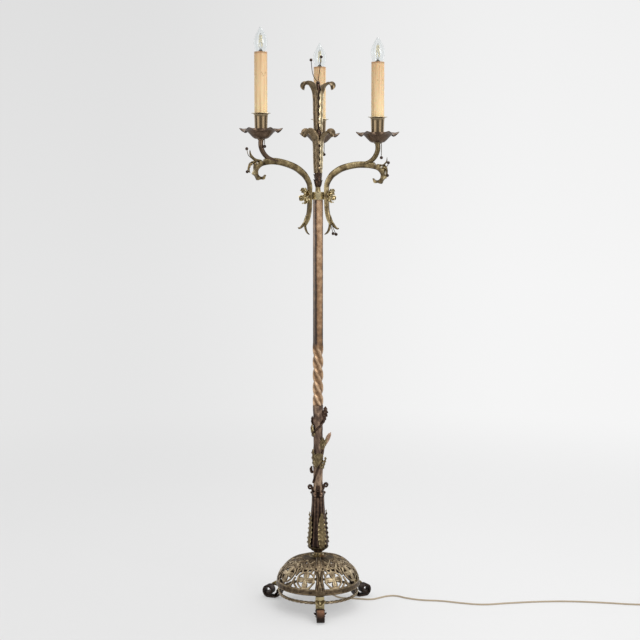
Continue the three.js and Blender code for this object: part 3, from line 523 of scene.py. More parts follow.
# %% Leaves
def leaf(pairs, width, teeth=7, tooth=0.2, wrap=0.0, cup=0.0, thickness=1.4, vein=0.5, rows=72, foot=0.45,
         blunt=0, ruffle=0.0, contrast=0.5, veins=0, rim=0.3, lean=0.0, roll=0.0, slim=0.0, scallop=False,
         light=0.0):
    """A leaf over a line of (distance, height) pairs. Its half width is a sine of the length, so it swells
    and then narrows to a point, or, if blunt, a root that stays wide almost to the tip. A saw wave cuts its
    teeth, or a rectified sine its scallops. Across, it leans to one side, bends round a cylinder of radius
    wrap or rises at its edges by cup, its edge may ruffle with the teeth, and the whole may roll about its
    line by degrees. The midrib is a narrow bell curve, and slanting waves are veins."""
    u = np.linspace(0, 1, rows)[:, None]
    v = np.linspace(-1, 1, 15)[None, :]
    swell = np.sin(np.pi * u**0.8) ** 0.7 * (1 - foot) + foot * np.clip(1 - u, 0, 1) ** 0.4
    if blunt:
        swell = np.sqrt(np.clip(1 - u**blunt, 0, 1)) * (foot + (1 - foot) * np.clip(5 * u, 0, 1))
    swell = swell * (1 - slim * np.clip((u - 0.58) / 0.16, 0, 1))
    cut = (1 - np.abs(np.sin(np.pi * teeth * u))) ** 1.5 if scallop else ((u * teeth) % 1) ** 1.5
    half = width / 2 * swell * (1 - tooth * cut)
    sideways = half * (v + lean)
    ridge = np.exp(-((v / 0.13) ** 2)) * 0.9
    waves = 0.5 + 0.5 * np.cos(2 * np.pi * ((veins or teeth) * u - 1.1 * np.abs(v)))
    height = vein * (ridge + waves * (1 - v**4) * 0.8)
    out = height + cup * half * v**2 + ruffle * v**4 * np.sin(2 * np.pi * teeth * u)
    if wrap:
        bend = sideways / wrap
        sideways, out = (wrap + out) * np.sin(bend), (wrap + out) * np.cos(bend) - wrap
    skin = thickness * (1 - 0.55 * v**4) * np.clip(1.15 - u, 0.3, 1)
    top = np.stack([sideways, out + 0 * u], -1)
    under = np.stack([sideways * 0.97, out - height - skin], -1)[:, ::-1]
    section = np.concatenate([top, under], 1)
    c, s = np.cos(np.radians(roll)), np.sin(np.radians(roll))
    # Painted light: light lifts the whole leaf and rim lightens its edges. Painted shade: the underside is a
    # little darker.
    marks = 0.5 * ridge + 0.6 * waves * (1 - 0.3 * v**2) - 0.45
    shade = np.clip(0.45 + light + contrast * marks + rim * v**6, 0, 1) + 0 * u
    relief = np.concatenate([shade, 0.7 * shade[:, ::-1]], 1)
    return bent(smooth_line(pairs, rows), section @ np.array([[c, s], [-s, c]]), relief)


# %% [markdown]
# ## Finishes
#
# All the metal is old: dark in its recesses, olive or brown on the flat, and rubbed bright on its crests.
# One recipe makes each. The relief of a vertex and a cloudy noise together choose a place on a ramp of
# three colours, so that wear follows the shape; on some pieces the relief also carries painted light and
# shade, noted where it is set. A second noise varies the polish.

# %% Recipes
rust = (136, 96, 70)


def colour(red, green, blue):
    """A linear colour from the values, 0 to 255, that a screen shows."""
    screen = np.array([red, green, blue]) / 255
    linear = np.where(screen <= 0.04045, screen / 12.92, ((screen + 0.055) / 1.055) ** 2.4)
    return (*linear, 1.0)


def ramp(tree, source, stops):
    """A colour ramp over a value, from stops: a place and the colour that a screen shows there."""
    made = node(tree, "ShaderNodeValToRGB", source)
    elements = made.color_ramp.elements
    while len(elements) < len(stops):
        elements.new(0.5)
    for element, (place, shade) in zip(elements, stops):
        element.position = place
        element.color = colour(*shade)
    return made.outputs["Color"]


def noise(tree, scale, detail):
    """Cloudy noise in the object's own coordinates, scale in clouds per metre."""
    place = node(tree, "ShaderNodeTexCoord").outputs["Object"]
    return node(tree, "ShaderNodeTexNoise", Vector=place, Scale=scale, Detail=detail).outputs["Fac"]


def attribute(tree, name):
    """A value that each vertex keeps."""
    return node(tree, "ShaderNodeAttribute", attribute_name=name).outputs["Fac"]


def blend(tree, share, first, second):
    """The first colour with a share of the second in it."""
    return node(tree, "ShaderNodeMix", data_type="RGBA", Factor=share, A=first, B=second).outputs["Result"]


def skinned(material, **values):
    """The material with its surface, a shader with those values."""
    skin = node(material.node_tree, "ShaderNodeBsdfPrincipled", **values)
    node(material.node_tree, "ShaderNodeOutputMaterial", skin.outputs[0])
    return material


def aged_metal(name, recess, flat, crest, polish=(0.25, 0.5), metallic=0.88, grain=120, carved=True,
               rough=0.35, haze=0.9):
    """Old metal: three colours by its relief, spread by haze, and rust where it is stained. grain is clouds
    per metre, polish the least and most roughness, and rough the depth of the fine grain. carved is False
    for a piece of the frame, which has no relief of its own."""
    material = bpy.data.materials.new(name)
    tree = tree_of(material)
    cloud, patch = noise(tree, grain, 5.0), noise(tree, grain / 7, 3.0)
    spread = sums(tree, "MULTIPLY", sums(tree, "SUBTRACT", cloud, 0.5), haze)
    place = sums(tree, "ADD", spread, attribute(tree, "relief") if carved else 0.5)
    shade = ramp(tree, place, [(0.1, recess), (0.5, flat), (0.92, crest)])
    rusty = sums(tree, "MULTIPLY", attribute(tree, "stain"), sums(tree, "ADD", cloud, 0.3))
    dull = node(tree, "ShaderNodeMapRange", patch, 0.3, 0.7, *polish)
    bump = node(tree, "ShaderNodeBump", Strength=rough, Distance=0.6 * mm, Height=cloud)
    return skinned(material, Base_Color=blend(tree, rusty, shade, colour(*rust)), Metallic=metallic,
                   Roughness=dull.outputs["Result"], Normal=bump.outputs["Normal"])


def plain(name, shade, roughness=0.5, **values):
    """A smooth material of one colour. Further values set the shader's sockets."""
    material = bpy.data.materials.new(name)
    tree_of(material)
    return skinned(material, Base_Color=colour(*shade), Roughness=roughness, **values)


# %% The finishes
dome_brass = aged_metal("dome_brass", (56, 44, 33), (122, 105, 82), (194, 177, 144))
gilt = aged_metal("gilt", (50, 41, 30), (124, 108, 78), (198, 182, 138), polish=(0.22, 0.42), haze=0.7)
leaf_brass = aged_metal("leaf_brass", (62, 50, 38), (148, 129, 101), (226, 211, 174), polish=(0.24, 0.42),
                        haze=0.5)
arm_brass = aged_metal("arm_brass", (56, 46, 32), (120, 104, 74), (204, 188, 144), polish=(0.22, 0.4))
bright_brass = aged_metal("bright_brass", (92, 77, 50), (178, 160, 118), (240, 227, 186), (0.15, 0.28),
                          rough=0.06, haze=0.3)
iron = aged_metal("iron", (32, 19, 14), (86, 65, 52), (152, 124, 102), polish=(0.24, 0.42), metallic=0.75)
foot_iron = aged_metal("foot_iron", (26, 17, 14), (62, 47, 39), (118, 98, 84), polish=(0.3, 0.5),
                       metallic=0.7)
bark = aged_metal("bark", (54, 40, 33), (112, 90, 75), (170, 144, 120), polish=(0.35, 0.55), metallic=0.6,
                  grain=90)
bronze = aged_metal("bronze", (50, 39, 33), (106, 87, 71), (176, 155, 128), polish=(0.2, 0.36), haze=0.5)
cup_brass = aged_metal("cup_brass", (80, 66, 50), (140, 121, 94), (204, 188, 154), (0.15, 0.2), rough=0.02,
                       haze=0.1)
stem_paint = aged_metal("stem_paint", (52, 36, 26), (140, 106, 74), (208, 176, 142), (0.34, 0.5),
                        metallic=0.4, grain=80, rough=0.12)
bud_paint = aged_metal("bud_paint", (96, 70, 52), (158, 124, 100), (206, 178, 152), (0.34, 0.5), metallic=0.4)
hidden_iron = aged_metal("hidden_iron", (22, 18, 16), (52, 44, 38), (90, 80, 68), carved=False)
hidden_brass = aged_metal("hidden_brass", (80, 64, 30), (160, 134, 70), (215, 190, 120), carved=False)
nickel = aged_metal("nickel", (80, 74, 64), (168, 160, 146), (222, 216, 204), (0.15, 0.3), carved=False)
chain_steel = aged_metal("chain_steel", (46, 42, 37), (104, 97, 86), (168, 160, 146), (0.25, 0.4),
                         carved=False)

# %% Wax, glass, filament, cord and plug
card_tones = [(0.0, (240, 212, 160)), (0.2, (236, 206, 158)), (0.55, (226, 194, 148)),
              (0.92, (218, 182, 136)), (1.0, (150, 112, 78))]
paint = (176, 134, 92)


def candle_card():
    """Cream card with a waxy coat: pale at the foot, tan above, scorched at the top edge, and streaked down
    its length by noise that is drawn out upwards."""
    material = bpy.data.materials.new("candle_card")
    tree = tree_of(material)
    shade = ramp(tree, attribute(tree, "relief"), card_tones)
    place = node(tree, "ShaderNodeTexCoord").outputs["Object"]
    drawn = node(tree, "ShaderNodeVectorMath", place, (1, 1, 0.03), operation="MULTIPLY").outputs["Vector"]
    cloud = node(tree, "ShaderNodeTexNoise", Vector=drawn, Scale=260.0, Detail=2.0).outputs["Fac"]
    streak = sums(tree, "MULTIPLY", sums(tree, "SUBTRACT", cloud, 0.44), 2.2)
    marked = sums(tree, "MAXIMUM", streak, attribute(tree, "stain"))
    return skinned(material, Base_Color=blend(tree, marked, shade, colour(*paint)), Roughness=0.48,
                   Subsurface_Weight=0.12, Subsurface_Scale=4 * mm)


card = candle_card()
glass = plain("clear_glass", (250, 252, 252), 0.02, Transmission_Weight=1.0, IOR=1.45)
filament = plain("filament", (250, 232, 176), 0.5)
vinyl = plain("cord_vinyl", (172, 156, 132), 0.42)
plug_plastic = plain("plug_plastic", (150, 134, 112), 0.4)
rubber = plain("bush_rubber", (34, 31, 29), 0.6)
cord_curve.materials.append(vinyl)

# %% [markdown]
# ## The dome
#
# The base is a cast dome, pierced like lace: a plain rim, three ribs that come down to the feet, and
# between them four-petal flowers in rings. It could be cut with booleans, but hundreds of curved holes make
# those slow and ragged. Here one function of the place on the dome says how far inside the metal a point
# is, in millimetres. Grid cells outside it are dropped, and the vertices along the holes slide onto its
# zero line, which leaves smooth edges. A second value gives the raised pattern.

# %% The dome's outline and its arc length
dome_foot, dome_top = span("base_dome")
dome_radius = 111.0
dome_rise = 75.0
dome_spring = dome_foot + 4
dome_wall = 2.5
foot_azimuths = (2.6, 122.6, -117.4)
crown_turn = np.arcsin((dome_top - dome_spring) / dome_rise)
turns = np.linspace(0.13, crown_turn, 160)
dome_arch = np.stack([dome_radius * np.cos(turns), dome_spring + dome_rise * np.sin(turns)], 1)
dome_skirt = [[dome_radius + 1, dome_foot], [dome_radius + 1, dome_foot + 7],
              [dome_radius + 0.4, dome_foot + 11]]
dome_line = even(np.concatenate([dome_skirt, dome_arch]), 500)
dome_arc = np.linspace(0, np.linalg.norm(np.diff(dome_line, axis=0), axis=1).sum(), 500)
print("arc length of the dome from rim to crown:", dome_arc[-1].round(1), "mm")


# %% The pattern
def round_top(distance, half):
    """The height of a round strand, 1 on its middle line and 0 from its edge on."""
    return np.sqrt(np.clip(1 - (distance / half) ** 2, 0, 1))


def from_segment(x, y, start, end):
    """The distance of points (x, y) from a straight line between two points."""
    (x0, y0), (x1, y1) = start, end
    share = np.clip(((x - x0) * (x1 - x0) + (y - y0) * (y1 - y0)) / ((x1 - x0) ** 2 + (y1 - y0) ** 2), 0, 1)
    return np.hypot(x - x0 - share * (x1 - x0), y - y0 - share * (y1 - y0))


def tracery(azimuth, arc):
    """How far inside the metal a point is and how high its pattern stands, in millimetres, and its relief. A
    point's place is folded so that a half panel, 60 degrees from a rib to the panel's middle, gives all six.
    Flowers are four-petal roses, the radius a power of the cosine of twice the angle, each in a ring."""
    radius = np.interp(arc, dome_arc, dome_line[:, 0])
    folded = np.abs((azimuth - foot_azimuths[0] + 60) % 120 - 60)
    across = np.radians(folded) * radius
    here = np.radians(1) * radius
    inside = np.maximum(17 - arc, arc - 71)
    height = 1.1 * round_top(arc - 14.6, 2.2) + 0.9 * round_top(arc - 2.0, 2.0)

    for centre, level in ((22.2, 40.0), (60.0, 47.0)):
        x = np.radians(folded - centre) * radius
        y = arc - level
        reach = np.hypot(x, y)
        angle = np.arctan2(y, x)
        ring = np.abs(reach - 22.9)
        petal = 22.5 * np.abs(np.cos(2 * angle)) ** 0.5
        for depth in (2.2 - ring, np.minimum(petal - reach, 6.0) * 0.7, 7.0 - reach):
            inside = np.maximum(inside, depth)
        height = np.maximum(height, 1.5 * round_top(ring, 2.3))
        groove = np.abs(np.sin(2 * angle)) * reach
        dish = np.clip(1 - reach / np.maximum(petal, 1), 0, 1) ** 0.35
        height = np.maximum(height, 2.1 * dish * (0.55 + 0.45 * np.clip(groove / 5, 0, 1)) * (reach < 21))
        height = np.maximum(height, 2.6 * round_top(reach, 4.2))

    strands = [((17, 60), (12, 72)), ((30, 58), (33, 72)), ((41, 43), (45, 16)), ((51, 62), (49, 72))]
    strands += [((8, 36), (16, 17)), ((41, 30), (34, 17)), ((41, 30), (48, 17)), ((60, 24), (60, 17))]
    strands += [((22.2, 60), (22.2, 72)), ((60, 66), (60, 74)), ((41, 50), (36, 72)), ((41, 50), (44, 72)),
                ((10, 44), (7, 72))]
    for (turn_0, arc_0), (turn_1, arc_1) in strands:
        gap = from_segment(across, arc, (turn_0 * here, arc_0), (turn_1 * here, arc_1))
        inside = np.maximum(inside, 2.2 - gap)
        height = np.maximum(height, 1.2 * round_top(gap, 2.4))

    lines = [((9, 76), (30, 73)), ((30, 73), (60, 84)), ((40, 108), (60, 94)), ((60, 94), (50, 76))]
    lines += [((16, 76), (24, 92)), ((24, 92), (14, 108)), ((24, 92), (40, 108)), ((36, 76), (46, 88)),
              ((46, 88), (60, 84))]
    for (turn_0, arc_0), (turn_1, arc_1) in lines:
        gap = from_segment(across, arc, (turn_0 * here, arc_0), (turn_1 * here, arc_1))
        height = np.maximum(height, 1.9 * round_top(gap, 2.3))

    holes = [(15, 88, 3.2), (44, 76, 3.4), (37, 95, 3.6), (27, 81, 3.0), (60, 105, 3.2)]
    holes += [(52, 90, 2.6), (60, 76, 2.8), (24, 102, 2.6), (48, 102, 2.4)]
    for turn, level, size in holes:
        gap = np.hypot(np.radians(folded - turn) * radius, arc - level)
        inside = np.minimum(inside, gap - size)
        height = np.where(gap < size + 2.2, np.maximum(height, round_top(gap - size - 1.0, 1.4)), height)

    raised = np.interp(arc, [64, 74], [0.28, 0.17]) * height
    relief = np.interp(arc, [64, 74, 98, 106], [0.26, 0.36, 0.28, 0.3]) + raised
    half = np.interp(arc, [0, 20, 38, 58, 72, 88, 120], [14, 12.5, 9.5, 9.5, 14, 9, 6])
    inside = np.maximum(inside, half - across)
    flank = np.clip((half - across) / 2.2, 0, 1)
    hollow = round_top(across - 4.4 - 2.2 * np.sin(arc / 9.0), 1.6) * (arc > 12) * (arc < 78)
    keel = np.exp(-((across / 1.6) ** 2)) * (arc > 20)
    rib = 3.0 * flank * flank * (3 - 2 * flank) - 1.5 * hollow + 0.8 * keel
    height = np.where(across < half, np.maximum(rib, 0.2), height)
    relief = np.where(across < half, 0.36 - 0.3 * hollow + 0.35 * keel * np.sin(arc / 3) ** 2, relief)
    scroll = np.hypot(across - 9, arc - 73)
    inside = np.minimum(inside, scroll - 2.8)
    height = np.where(scroll < 7.6, np.maximum(height, 3.4 * round_top(scroll - 5.2, 2.4)), height)
    relief = np.where(scroll < 7.6, 0.15 + 0.4 * round_top(scroll - 5.2, 2.4), relief)
    return inside, height, np.clip(relief, 0, 1)


# %% Mesh it
def on_dome(azimuth, arc, lift):
    """Points at an azimuth and an arc length, lifted square to the dome."""
    radius = np.interp(arc, dome_arc, dome_line[:, 0])
    rise = np.interp(arc, dome_arc, dome_line[:, 1])
    slope = slopes(dome_line)
    out = np.interp(arc, dome_arc, slope[:, 1])
    up = np.interp(arc, dome_arc, -slope[:, 0])
    bearing = toward(azimuth)
    far = radius + out * lift
    return polar(far, bearing, rise + up * lift)


def dome_shell(columns=540, rows=88):
    """The pierced wall: an outer and an inner skin, and a strip round every hole and both rims."""
    azimuth = np.linspace(0, 360, columns + 1)[:-1][None, :] + np.zeros((rows + 1, 1))
    arc = np.linspace(0, dome_arc[-1], rows + 1)[:, None] + np.zeros((1, columns))
    inside = tracery(azimuth, arc)[0]
    index = np.arange(azimuth.size).reshape(azimuth.shape)
    right = np.roll(index, -1, axis=1)
    cells = np.stack([index[:-1], right[:-1], right[1:], index[1:]], -1).reshape(-1, 4)
    kept = cells[inside.ravel()[cells].mean(1) > 0]

    used = np.zeros(azimuth.size, bool)
    used[kept] = True
    lost = np.zeros(azimuth.size, bool)
    lost[cells[inside.ravel()[cells].mean(1) <= 0]] = True
    radius = np.interp(arc, dome_arc, dome_line[:, 0])
    step_across = np.radians(360 / columns) * radius
    step_up = dome_arc[-1] / rows
    slope_across = (np.roll(inside, -1, 1) - np.roll(inside, 1, 1)) / (2 * step_across)
    slope_up = np.gradient(inside, axis=0) / step_up
    steep = np.maximum(slope_across**2 + slope_up**2, 0.15)
    edge = (used & lost).reshape(azimuth.shape)
    shift_across = np.clip(-inside * slope_across / steep, -0.7 * step_across, 0.7 * step_across)
    shift_up = np.clip(-inside * slope_up / steep, -0.7 * step_up, 0.7 * step_up)
    azimuth = azimuth + np.where(edge, np.degrees(shift_across / radius), 0)
    arc = np.clip(arc + np.where(edge, shift_up, 0), 0, dome_arc[-1])

    height, relief = tracery(azimuth, arc)[1:]
    outer = on_dome(azimuth, arc, height).reshape(-1, 3)
    inner = on_dome(azimuth, arc, -dome_wall).reshape(-1, 3)
    total = len(outer)
    tail, head = kept.ravel(), np.roll(kept, -1, axis=1).ravel()
    rim = ~np.isin(tail.astype(np.int64) * total + head, head.astype(np.int64) * total + tail)
    tail, head = tail[rim], head[rim]
    strips = np.stack([head, tail, tail + total, head + total], 1)
    quads = np.concatenate([kept, kept[:, ::-1] + total, strips])
    # The inner skin is dark, painted shade under the dome.
    relief = np.concatenate([relief.ravel(), np.full(total, 0.12)])
    names, quads = np.unique(quads, return_inverse=True)
    part = {"points": np.concatenate([outer, inner])[names], "relief": relief[names]}
    return facing_out({**part, "quads": quads.reshape(-1, 4), "triangles": np.zeros((0, 3), int)})


piece("fine_dome", [dome_shell()], dome_brass, stands_for=["base_dome"], crease=50)

# %% [markdown]
# ## Feet and ring
#
# Each foot is one flat strap, bent down from the dome's rim and rolled up in a scroll that stands on the
# floor, with a cast leaf on its shoulder. A strap is a rectangle carried along the bend. The ring that ties
# the feet is a square bar with a tight twist, which catches the light in dashes.

# %% The strap's line, and its scroll
foot_knots = [(103.3, 68), (103.3, 61), (109.4, 49), (110.8, 37), (113.4, 20), (119.5, 8), (131, 2.4)]
scroll_centre = np.array([150.5, 18.4])
scroll_turns = 1.2
scroll_step = np.linspace(0.0, scroll_turns, 60)
scroll_angle = np.radians(-95 + 360 * scroll_step)
scroll_radius = 16.2 - 7.6 * scroll_step
scroll = scroll_centre + scroll_radius[:, None] * np.stack([np.cos(scroll_angle), np.sin(scroll_angle)], 1)
strap_line = even(np.concatenate([smooth_line(foot_knots, 60)[:-2], scroll[1:]]), 190)
strap_share = np.linspace(0, 1, len(strap_line))
strap_taper = np.interp(strap_share, [0, 0.36, 0.5, 0.9, 1], [1, 1, 1.45, 1.4, 0.9])
strap_section = bar_section(22, 4, 0.8, 4) * np.stack([0.94 + 0 * strap_taper, strap_taper], 1)[:, None]


def foot(azimuth):
    """The strap with a dark leaf down its front, and its gilt dress: a clasp under the rim and a knob that
    curls over the roll."""
    strap = bent(strap_line, strap_section, 0.3)
    strap["points"][:, 2] = np.maximum(strap["points"][:, 2], 0)
    clasp_line = [(109.2, 54.5), (111.2, 50), (113.2, 45), (114.6, 38), (116, 31), (118, 25)]
    clasp = bent(smooth_line(clasp_line, 30), bar_section(23, 3.6, 1.2, 5), 0.88)
    knob_line = [(114, 41), (119, 37.8), (126, 35.6), (133, 35.2), (139, 36.8), (143, 39.2)]
    knob = leaf(knob_line, 32, teeth=4, tooth=0.3, cup=-0.9, thickness=4.6, vein=1.6, rows=60, foot=0.6,
                contrast=0.8, light=0.4)
    lobe_line = [(119.4, 27), (120.4, 23), (121.5, 17), (127, 9.5), (135, 5.4), (139, 5.4)]
    lobes = leaf(lobe_line, 37, teeth=3, tooth=0.4, cup=-0.1, thickness=2.4, vein=1.4, rows=70, foot=0.3,
                 contrast=0.9)
    if azimuth == foot_azimuths[0]:
        strap = stained(strap, (157, 0, 31), 19)
    return spun((strap, lobes), azimuth), spun((clasp, knob), azimuth)


for name, azimuth in zip(("front", "right", "left"), foot_azimuths):
    strap_part, dress = foot(azimuth)
    piece("fine_foot_" + name, strap_part, foot_iron, stands_for=["foot_" + name])
    piece("foot_leaf_" + name, dress, gilt)

# %% Twisted ring
ring_radius = 104.0
ring_height = 37.0
ring_side = 6.5
ring_quarter_turns = 48


def twisted_ring(steps=672):
    """A bevelled square carried round a circle while it turns by a quarter every few degrees."""
    way = around(steps)
    line = polar(ring_radius, way, ring_height)
    x, y = bar_section(ring_side, ring_side, 0.9, 2).T
    sections = np.stack(rotated(x, y, way * ring_quarter_turns / 4), -1)
    # Painted highlight: the corners are lighter than the faces, so the twist shows in dashes of light.
    corner = (np.hypot(x, y) / np.hypot(x, y).max()) ** 4
    return swept(line, sections, relief=(0.05 + 0.6 * corner)[None, :], closed_along=True)


piece("fine_ring", [twisted_ring()], dome_brass, stands_for=["stretcher_ring"])

# %% [markdown]
# ## The stack above the dome
#
# Cap, vase and stem are turned shapes: a profile that goes round the axis, with flutes as a wave on the
# radius. Each is a ring of metal with the pipe's bore through it.

# %% Dome cap and vase
bore = 5.65
cap_foot, cap_head = span("dome_cap")
vase_foot, vase_head = span("vase_body")


def bored(outline, segments, swell, relief):
    """A turned shape from its outer outline, closed by the bore."""
    profile = np.concatenate([[[bore, outline[0, 1]]], outline, [[bore, outline[-1, 1]]]])
    return turned(profile, segments, swell, capped(relief))


cap_rise = [(23, 0), (24, 0.4), (24, 1.4), (22.4, 2.2), (18.5, 2.8), (15.2, 3.4), (14.4, 4)]
cap_neck = [(15.4, 4.6), (15.6, 5.6), (14.8, 6.4), (12, 7), (11.4, 8), (11.4, cap_head - cap_foot)]
cap_outline = np.array(cap_rise + cap_neck) + [0, cap_foot]
cap_relief = np.array([0.3, 0.7, 0.8, 0.6, 0.5, 0.55, 0.4, 0.8, 0.95, 0.7, 0.45, 0.5, 0.5])[:, None]
cap = stained(bored(cap_outline, 96, None, cap_relief), (17, -15, cap_foot + 5), 14)
piece("fine_cap", [cap], gilt, stands_for=["dome_cap"])

vase_knots = [(17, 4), (22.3, 9), (26.5, 18), (27.5, 26), (26, 42), (22, 80), (18, 122), (16.5, 151)]
vase_base = [(11.8, 0), (12, 2.6), (15.5, 3.6)]
vase_line = np.concatenate([vase_base, smooth_line(vase_knots, 90)]) + [0, vase_foot]


def flutes(angle, radius, height):
    """Twelve shallow hollows that fade out towards both ends of the vase."""
    share = (height - vase_foot) / (vase_head - vase_foot)
    depth = 0.075 * np.clip(share * 8, 0, 1) * np.clip((0.93 - share) * 6, 0, 1)
    hollow = np.abs(np.sin(6 * angle))
    return 1 - depth * hollow**0.6, 0.0


vase_angle = around(192)[None, :]
vase_top = np.linspace(-0.14, 0.16, len(vase_line) + 2)[:, None]
vase_relief = 0.72 - 0.62 * np.abs(np.sin(6 * vase_angle)) ** 0.6 + vase_top
vase_rings = np.concatenate([[[bore, vase_foot]], vase_line, [[bore, vase_head]]])
vase = turned(vase_rings, 192, flutes, relief=vase_relief)
piece("fine_vase", [vase], iron, stands_for=["vase_body"])

# %% Vase leaves
leaf_heights = np.array([11, 28, 45, 62, 80, 98, 112.0])
leaf_offsets = np.array([1.8, 1.6, 1.6, 1.8, 2.4, 4.0, 6.5])
leaf_radii = np.interp(leaf_heights, vase_line[:, 1] - vase_foot, vase_line[:, 0]) + leaf_offsets
vase_leaf_line = np.stack([leaf_radii, leaf_heights + vase_foot], 1)
vase_leaf = leaf(vase_leaf_line, 25, teeth=8, tooth=0.18, wrap=26, thickness=1.8, vein=0.4, rows=160,
                 foot=0.3, ruffle=1.8, contrast=0.12, veins=9, rim=0.35)
ring_line = [(23.2, 10), (25.2, 10.6), (27.6, 13), (28.3, 15.4), (27.8, 17), (27.2, 17.2), (25.4, 13)]
leaf_ring = turned(np.array(ring_line) + [0, vase_foot], relief=0.2)
vase_leaves = [leaf_ring] + [spun([vase_leaf], turn)[0] for turn in (25, 115, 205, 295)]
piece("fine_vase_leaves", vase_leaves, gilt, stands_for=["vase_leaves"])

# %% Ruffled collar with two curls and a third in front
collar_foot = vase_head + 0.3
collar_head = span("lower_stem")[0] - 0.3


def ruffle(angle, radius, height):
    """A six-fold wave on the widest part."""
    return 1 + 0.08 * np.cos(6 * angle) * np.clip((radius - 14) / 8, 0, 1), 0.0


collar_knots = [(14.5, 0.3), (16.6, 2), (17.4, 4), (17, 6), (19.4, 9), (19.6, 12), (17.4, 14), (15.6, 14.4),
                (13, 17)]
collar_line = smooth_line(collar_knots, 40) + [0, collar_foot]
collar_wave = 0.45 + 0.4 * np.cos(6 * vase_angle) + 0 * collar_line[:, :1]
collar = bored(collar_line, 192, ruffle, collar_wave)
curl_turn = np.radians(190 - np.linspace(0, 350, 50))
curl_radius = np.linspace(5.0, 3.6, 50)
curl_eye = np.array([21.4, collar_head + 8.5])
curl_roll = curl_eye + curl_radius[:, None] * np.stack([np.cos(curl_turn), np.sin(curl_turn)], 1)
curl_stalk = smooth_line([[13.6, collar_head - 4], [15.4, collar_head + 0.5], [15.8, collar_head + 4]], 12)
curl_line = even(np.concatenate([curl_stalk, curl_roll]), 80)
curl_thick = np.interp(np.linspace(0, 1, 80), [0, 0.5, 1], [1.0, 1.1, 0.7])
curl = bent(curl_line, bar_section(11, 5.0, 1.0) * curl_thick[:, None, None], 0.35)
curls = [moved(curl, (0, 0, lift), toward(turn)) for turn, lift in ((-84, 0), (80, 6), (0, 1))]
piece("fine_collar", [collar] + curls, iron, stands_for=["ruffled_collar"])

# %% [markdown]
# ## Stem, vine and shaft
#
# The lower stem is forged to look like bark, and a rod with leaves, a bud and a flower climbs it. Above it
# a square bar is twisted at its foot. The twist is a turn of the square that grows with the distance below
# the straight part, so the edges wind as evenly as in a bar twisted hot in a vice.

# %% Lower stem
stem_foot, stem_head = span("lower_stem")
stem_radius = 12.5
stem_rise = np.linspace(0, 1, 120)
stem_height = stem_foot + stem_rise * (stem_head - stem_foot)
stem_round = around(96)[None, :]
stem_knots = [(12.5, 0), (13.6, 5), (12.2, 14), (12.6, 60), (12.3, 130), (12.6, 200), (13.0, 214),
              (13.6, 224), (13.4, 230.4)]
knot_radius, knot_level = np.array(stem_knots).T
stem_outline = np.stack([np.interp(stem_height - stem_foot, knot_level, knot_radius), stem_height], 1)
tall = stem_height[:, None] - stem_foot
grain_wave = 0.5 * np.sin(7 * stem_round + 3 * np.sin(tall / 21)) * np.sin(tall / 7 + 2 * stem_round)
grain_wave = grain_wave + 0.5 * np.sin(2 * stem_round + tall / 12) * np.sin(tall / 17 + 1)
knobs = np.exp(-(((tall - 190) / 26) ** 2)) + 0.8 * np.exp(-(((tall - 86) / 20) ** 2))
lumps = knobs * (0.5 + 0.5 * np.sin(5 * stem_round + tall / 9))
lumps = lumps * (0.5 + 0.5 * np.sin(tall / 4.2 + 2 * stem_round))
padded = capped(tall)
light_ends = 0.1 * np.clip((padded - 196) / 30, 0, 1) + 0.42 * np.clip((84 - padded) / 50, 0, 1)
grain_wave, lumps = capped(grain_wave), capped(lumps)


def bark_swell(angle, radius, height):
    """Wandering ridges, waves round the stem whose phases wander with height, and two belts of lumps."""
    return 1 + np.where(radius > bore + 1, 0.05 * grain_wave + 0.2 * lumps, 0), 0.0


stem_rings = np.concatenate([[[bore, stem_foot]], stem_outline, [[bore, stem_head]]])
stem = turned(stem_rings, 96, bark_swell, relief=0.42 + 0.26 * grain_wave + 0.16 * lumps + light_ends)
piece("fine_lower_stem", [stem], bark, stands_for=["lower_stem"])

# %% Vine
vine_radius = stem_radius + 2.3
vine_points = np.array([(-60, 0.095), (0, 0.265), (90, 0.52), (180, 0.6), (270, 0.65), (360, 0.74),
                        (450, 0.83)])
vine_way = smooth_line(vine_points * [1, 300], 160) / [1, 300]
vine_bearing = toward(vine_way[:, 0])
vine_height = stem_foot + vine_way[:, 1] * (stem_head - stem_foot)
vine_line = polar(vine_radius, vine_bearing, vine_height)
vine_rod = swept(even(vine_line, 160), round_section(2.9, 12), relief=0.3)


def climber(azimuth, knots, width, **shape):
    """A leaf of the vine from (distance from the vine, height above the stem's foot) knots, at an azimuth."""
    return moved(leaf(np.array(knots) + [vine_radius, stem_foot], width, **shape), bearing=toward(azimuth))


petals = [
    climber(8, [(-0.5, 62), (2.2, 74), (2.8, 90), (5.5, 104)], 30, teeth=3, wrap=16, vein=0.8, ruffle=1.5,
            blunt=5, contrast=0.3, scallop=True, rim=0.4),
    climber(-50, [(-0.5, 70), (1.5, 84), (2.4, 98), (4.5, 114)], 20, teeth=3, wrap=16, vein=0.8, ruffle=1.5,
            contrast=0.3),
    climber(66, [(-1, 58), (3, 68), (6.5, 80), (8, 92)], 20, teeth=4, wrap=16, vein=0.8, ruffle=2.5, blunt=4,
            rim=0.5),
    climber(-72, [(-1, 148), (2.6, 155), (5.0, 165), (4.4, 174), (0.5, 180)], 20, teeth=3, cup=-0.6, vein=0.8,
            foot=0.5, contrast=0.4, thickness=4, light=0.1),
]
thorns = [
    climber(72, [(-2, 194), (2.5, 203), (5, 213), (6, 228)], 21, teeth=4, tooth=0.4, cup=-0.2, roll=72,
            thickness=6),
    climber(96, [(-2, 182), (1, 189), (4, 198), (6, 207)], 16, teeth=3, tooth=0.4, cup=-0.4, roll=75,
            thickness=5),
    climber(-86, [(-1, 176), (0.8, 184), (1.6, 194), (0.4, 202)], 10, teeth=3, tooth=0.4, cup=-0.5, roll=70,
            thickness=3),
    climber(-90, [(-2, 48), (2.0, 50), (3.8, 56), (2.6, 63), (-1, 65)], 10, teeth=2, roll=80, vein=0.6,
            thickness=3.4),
]
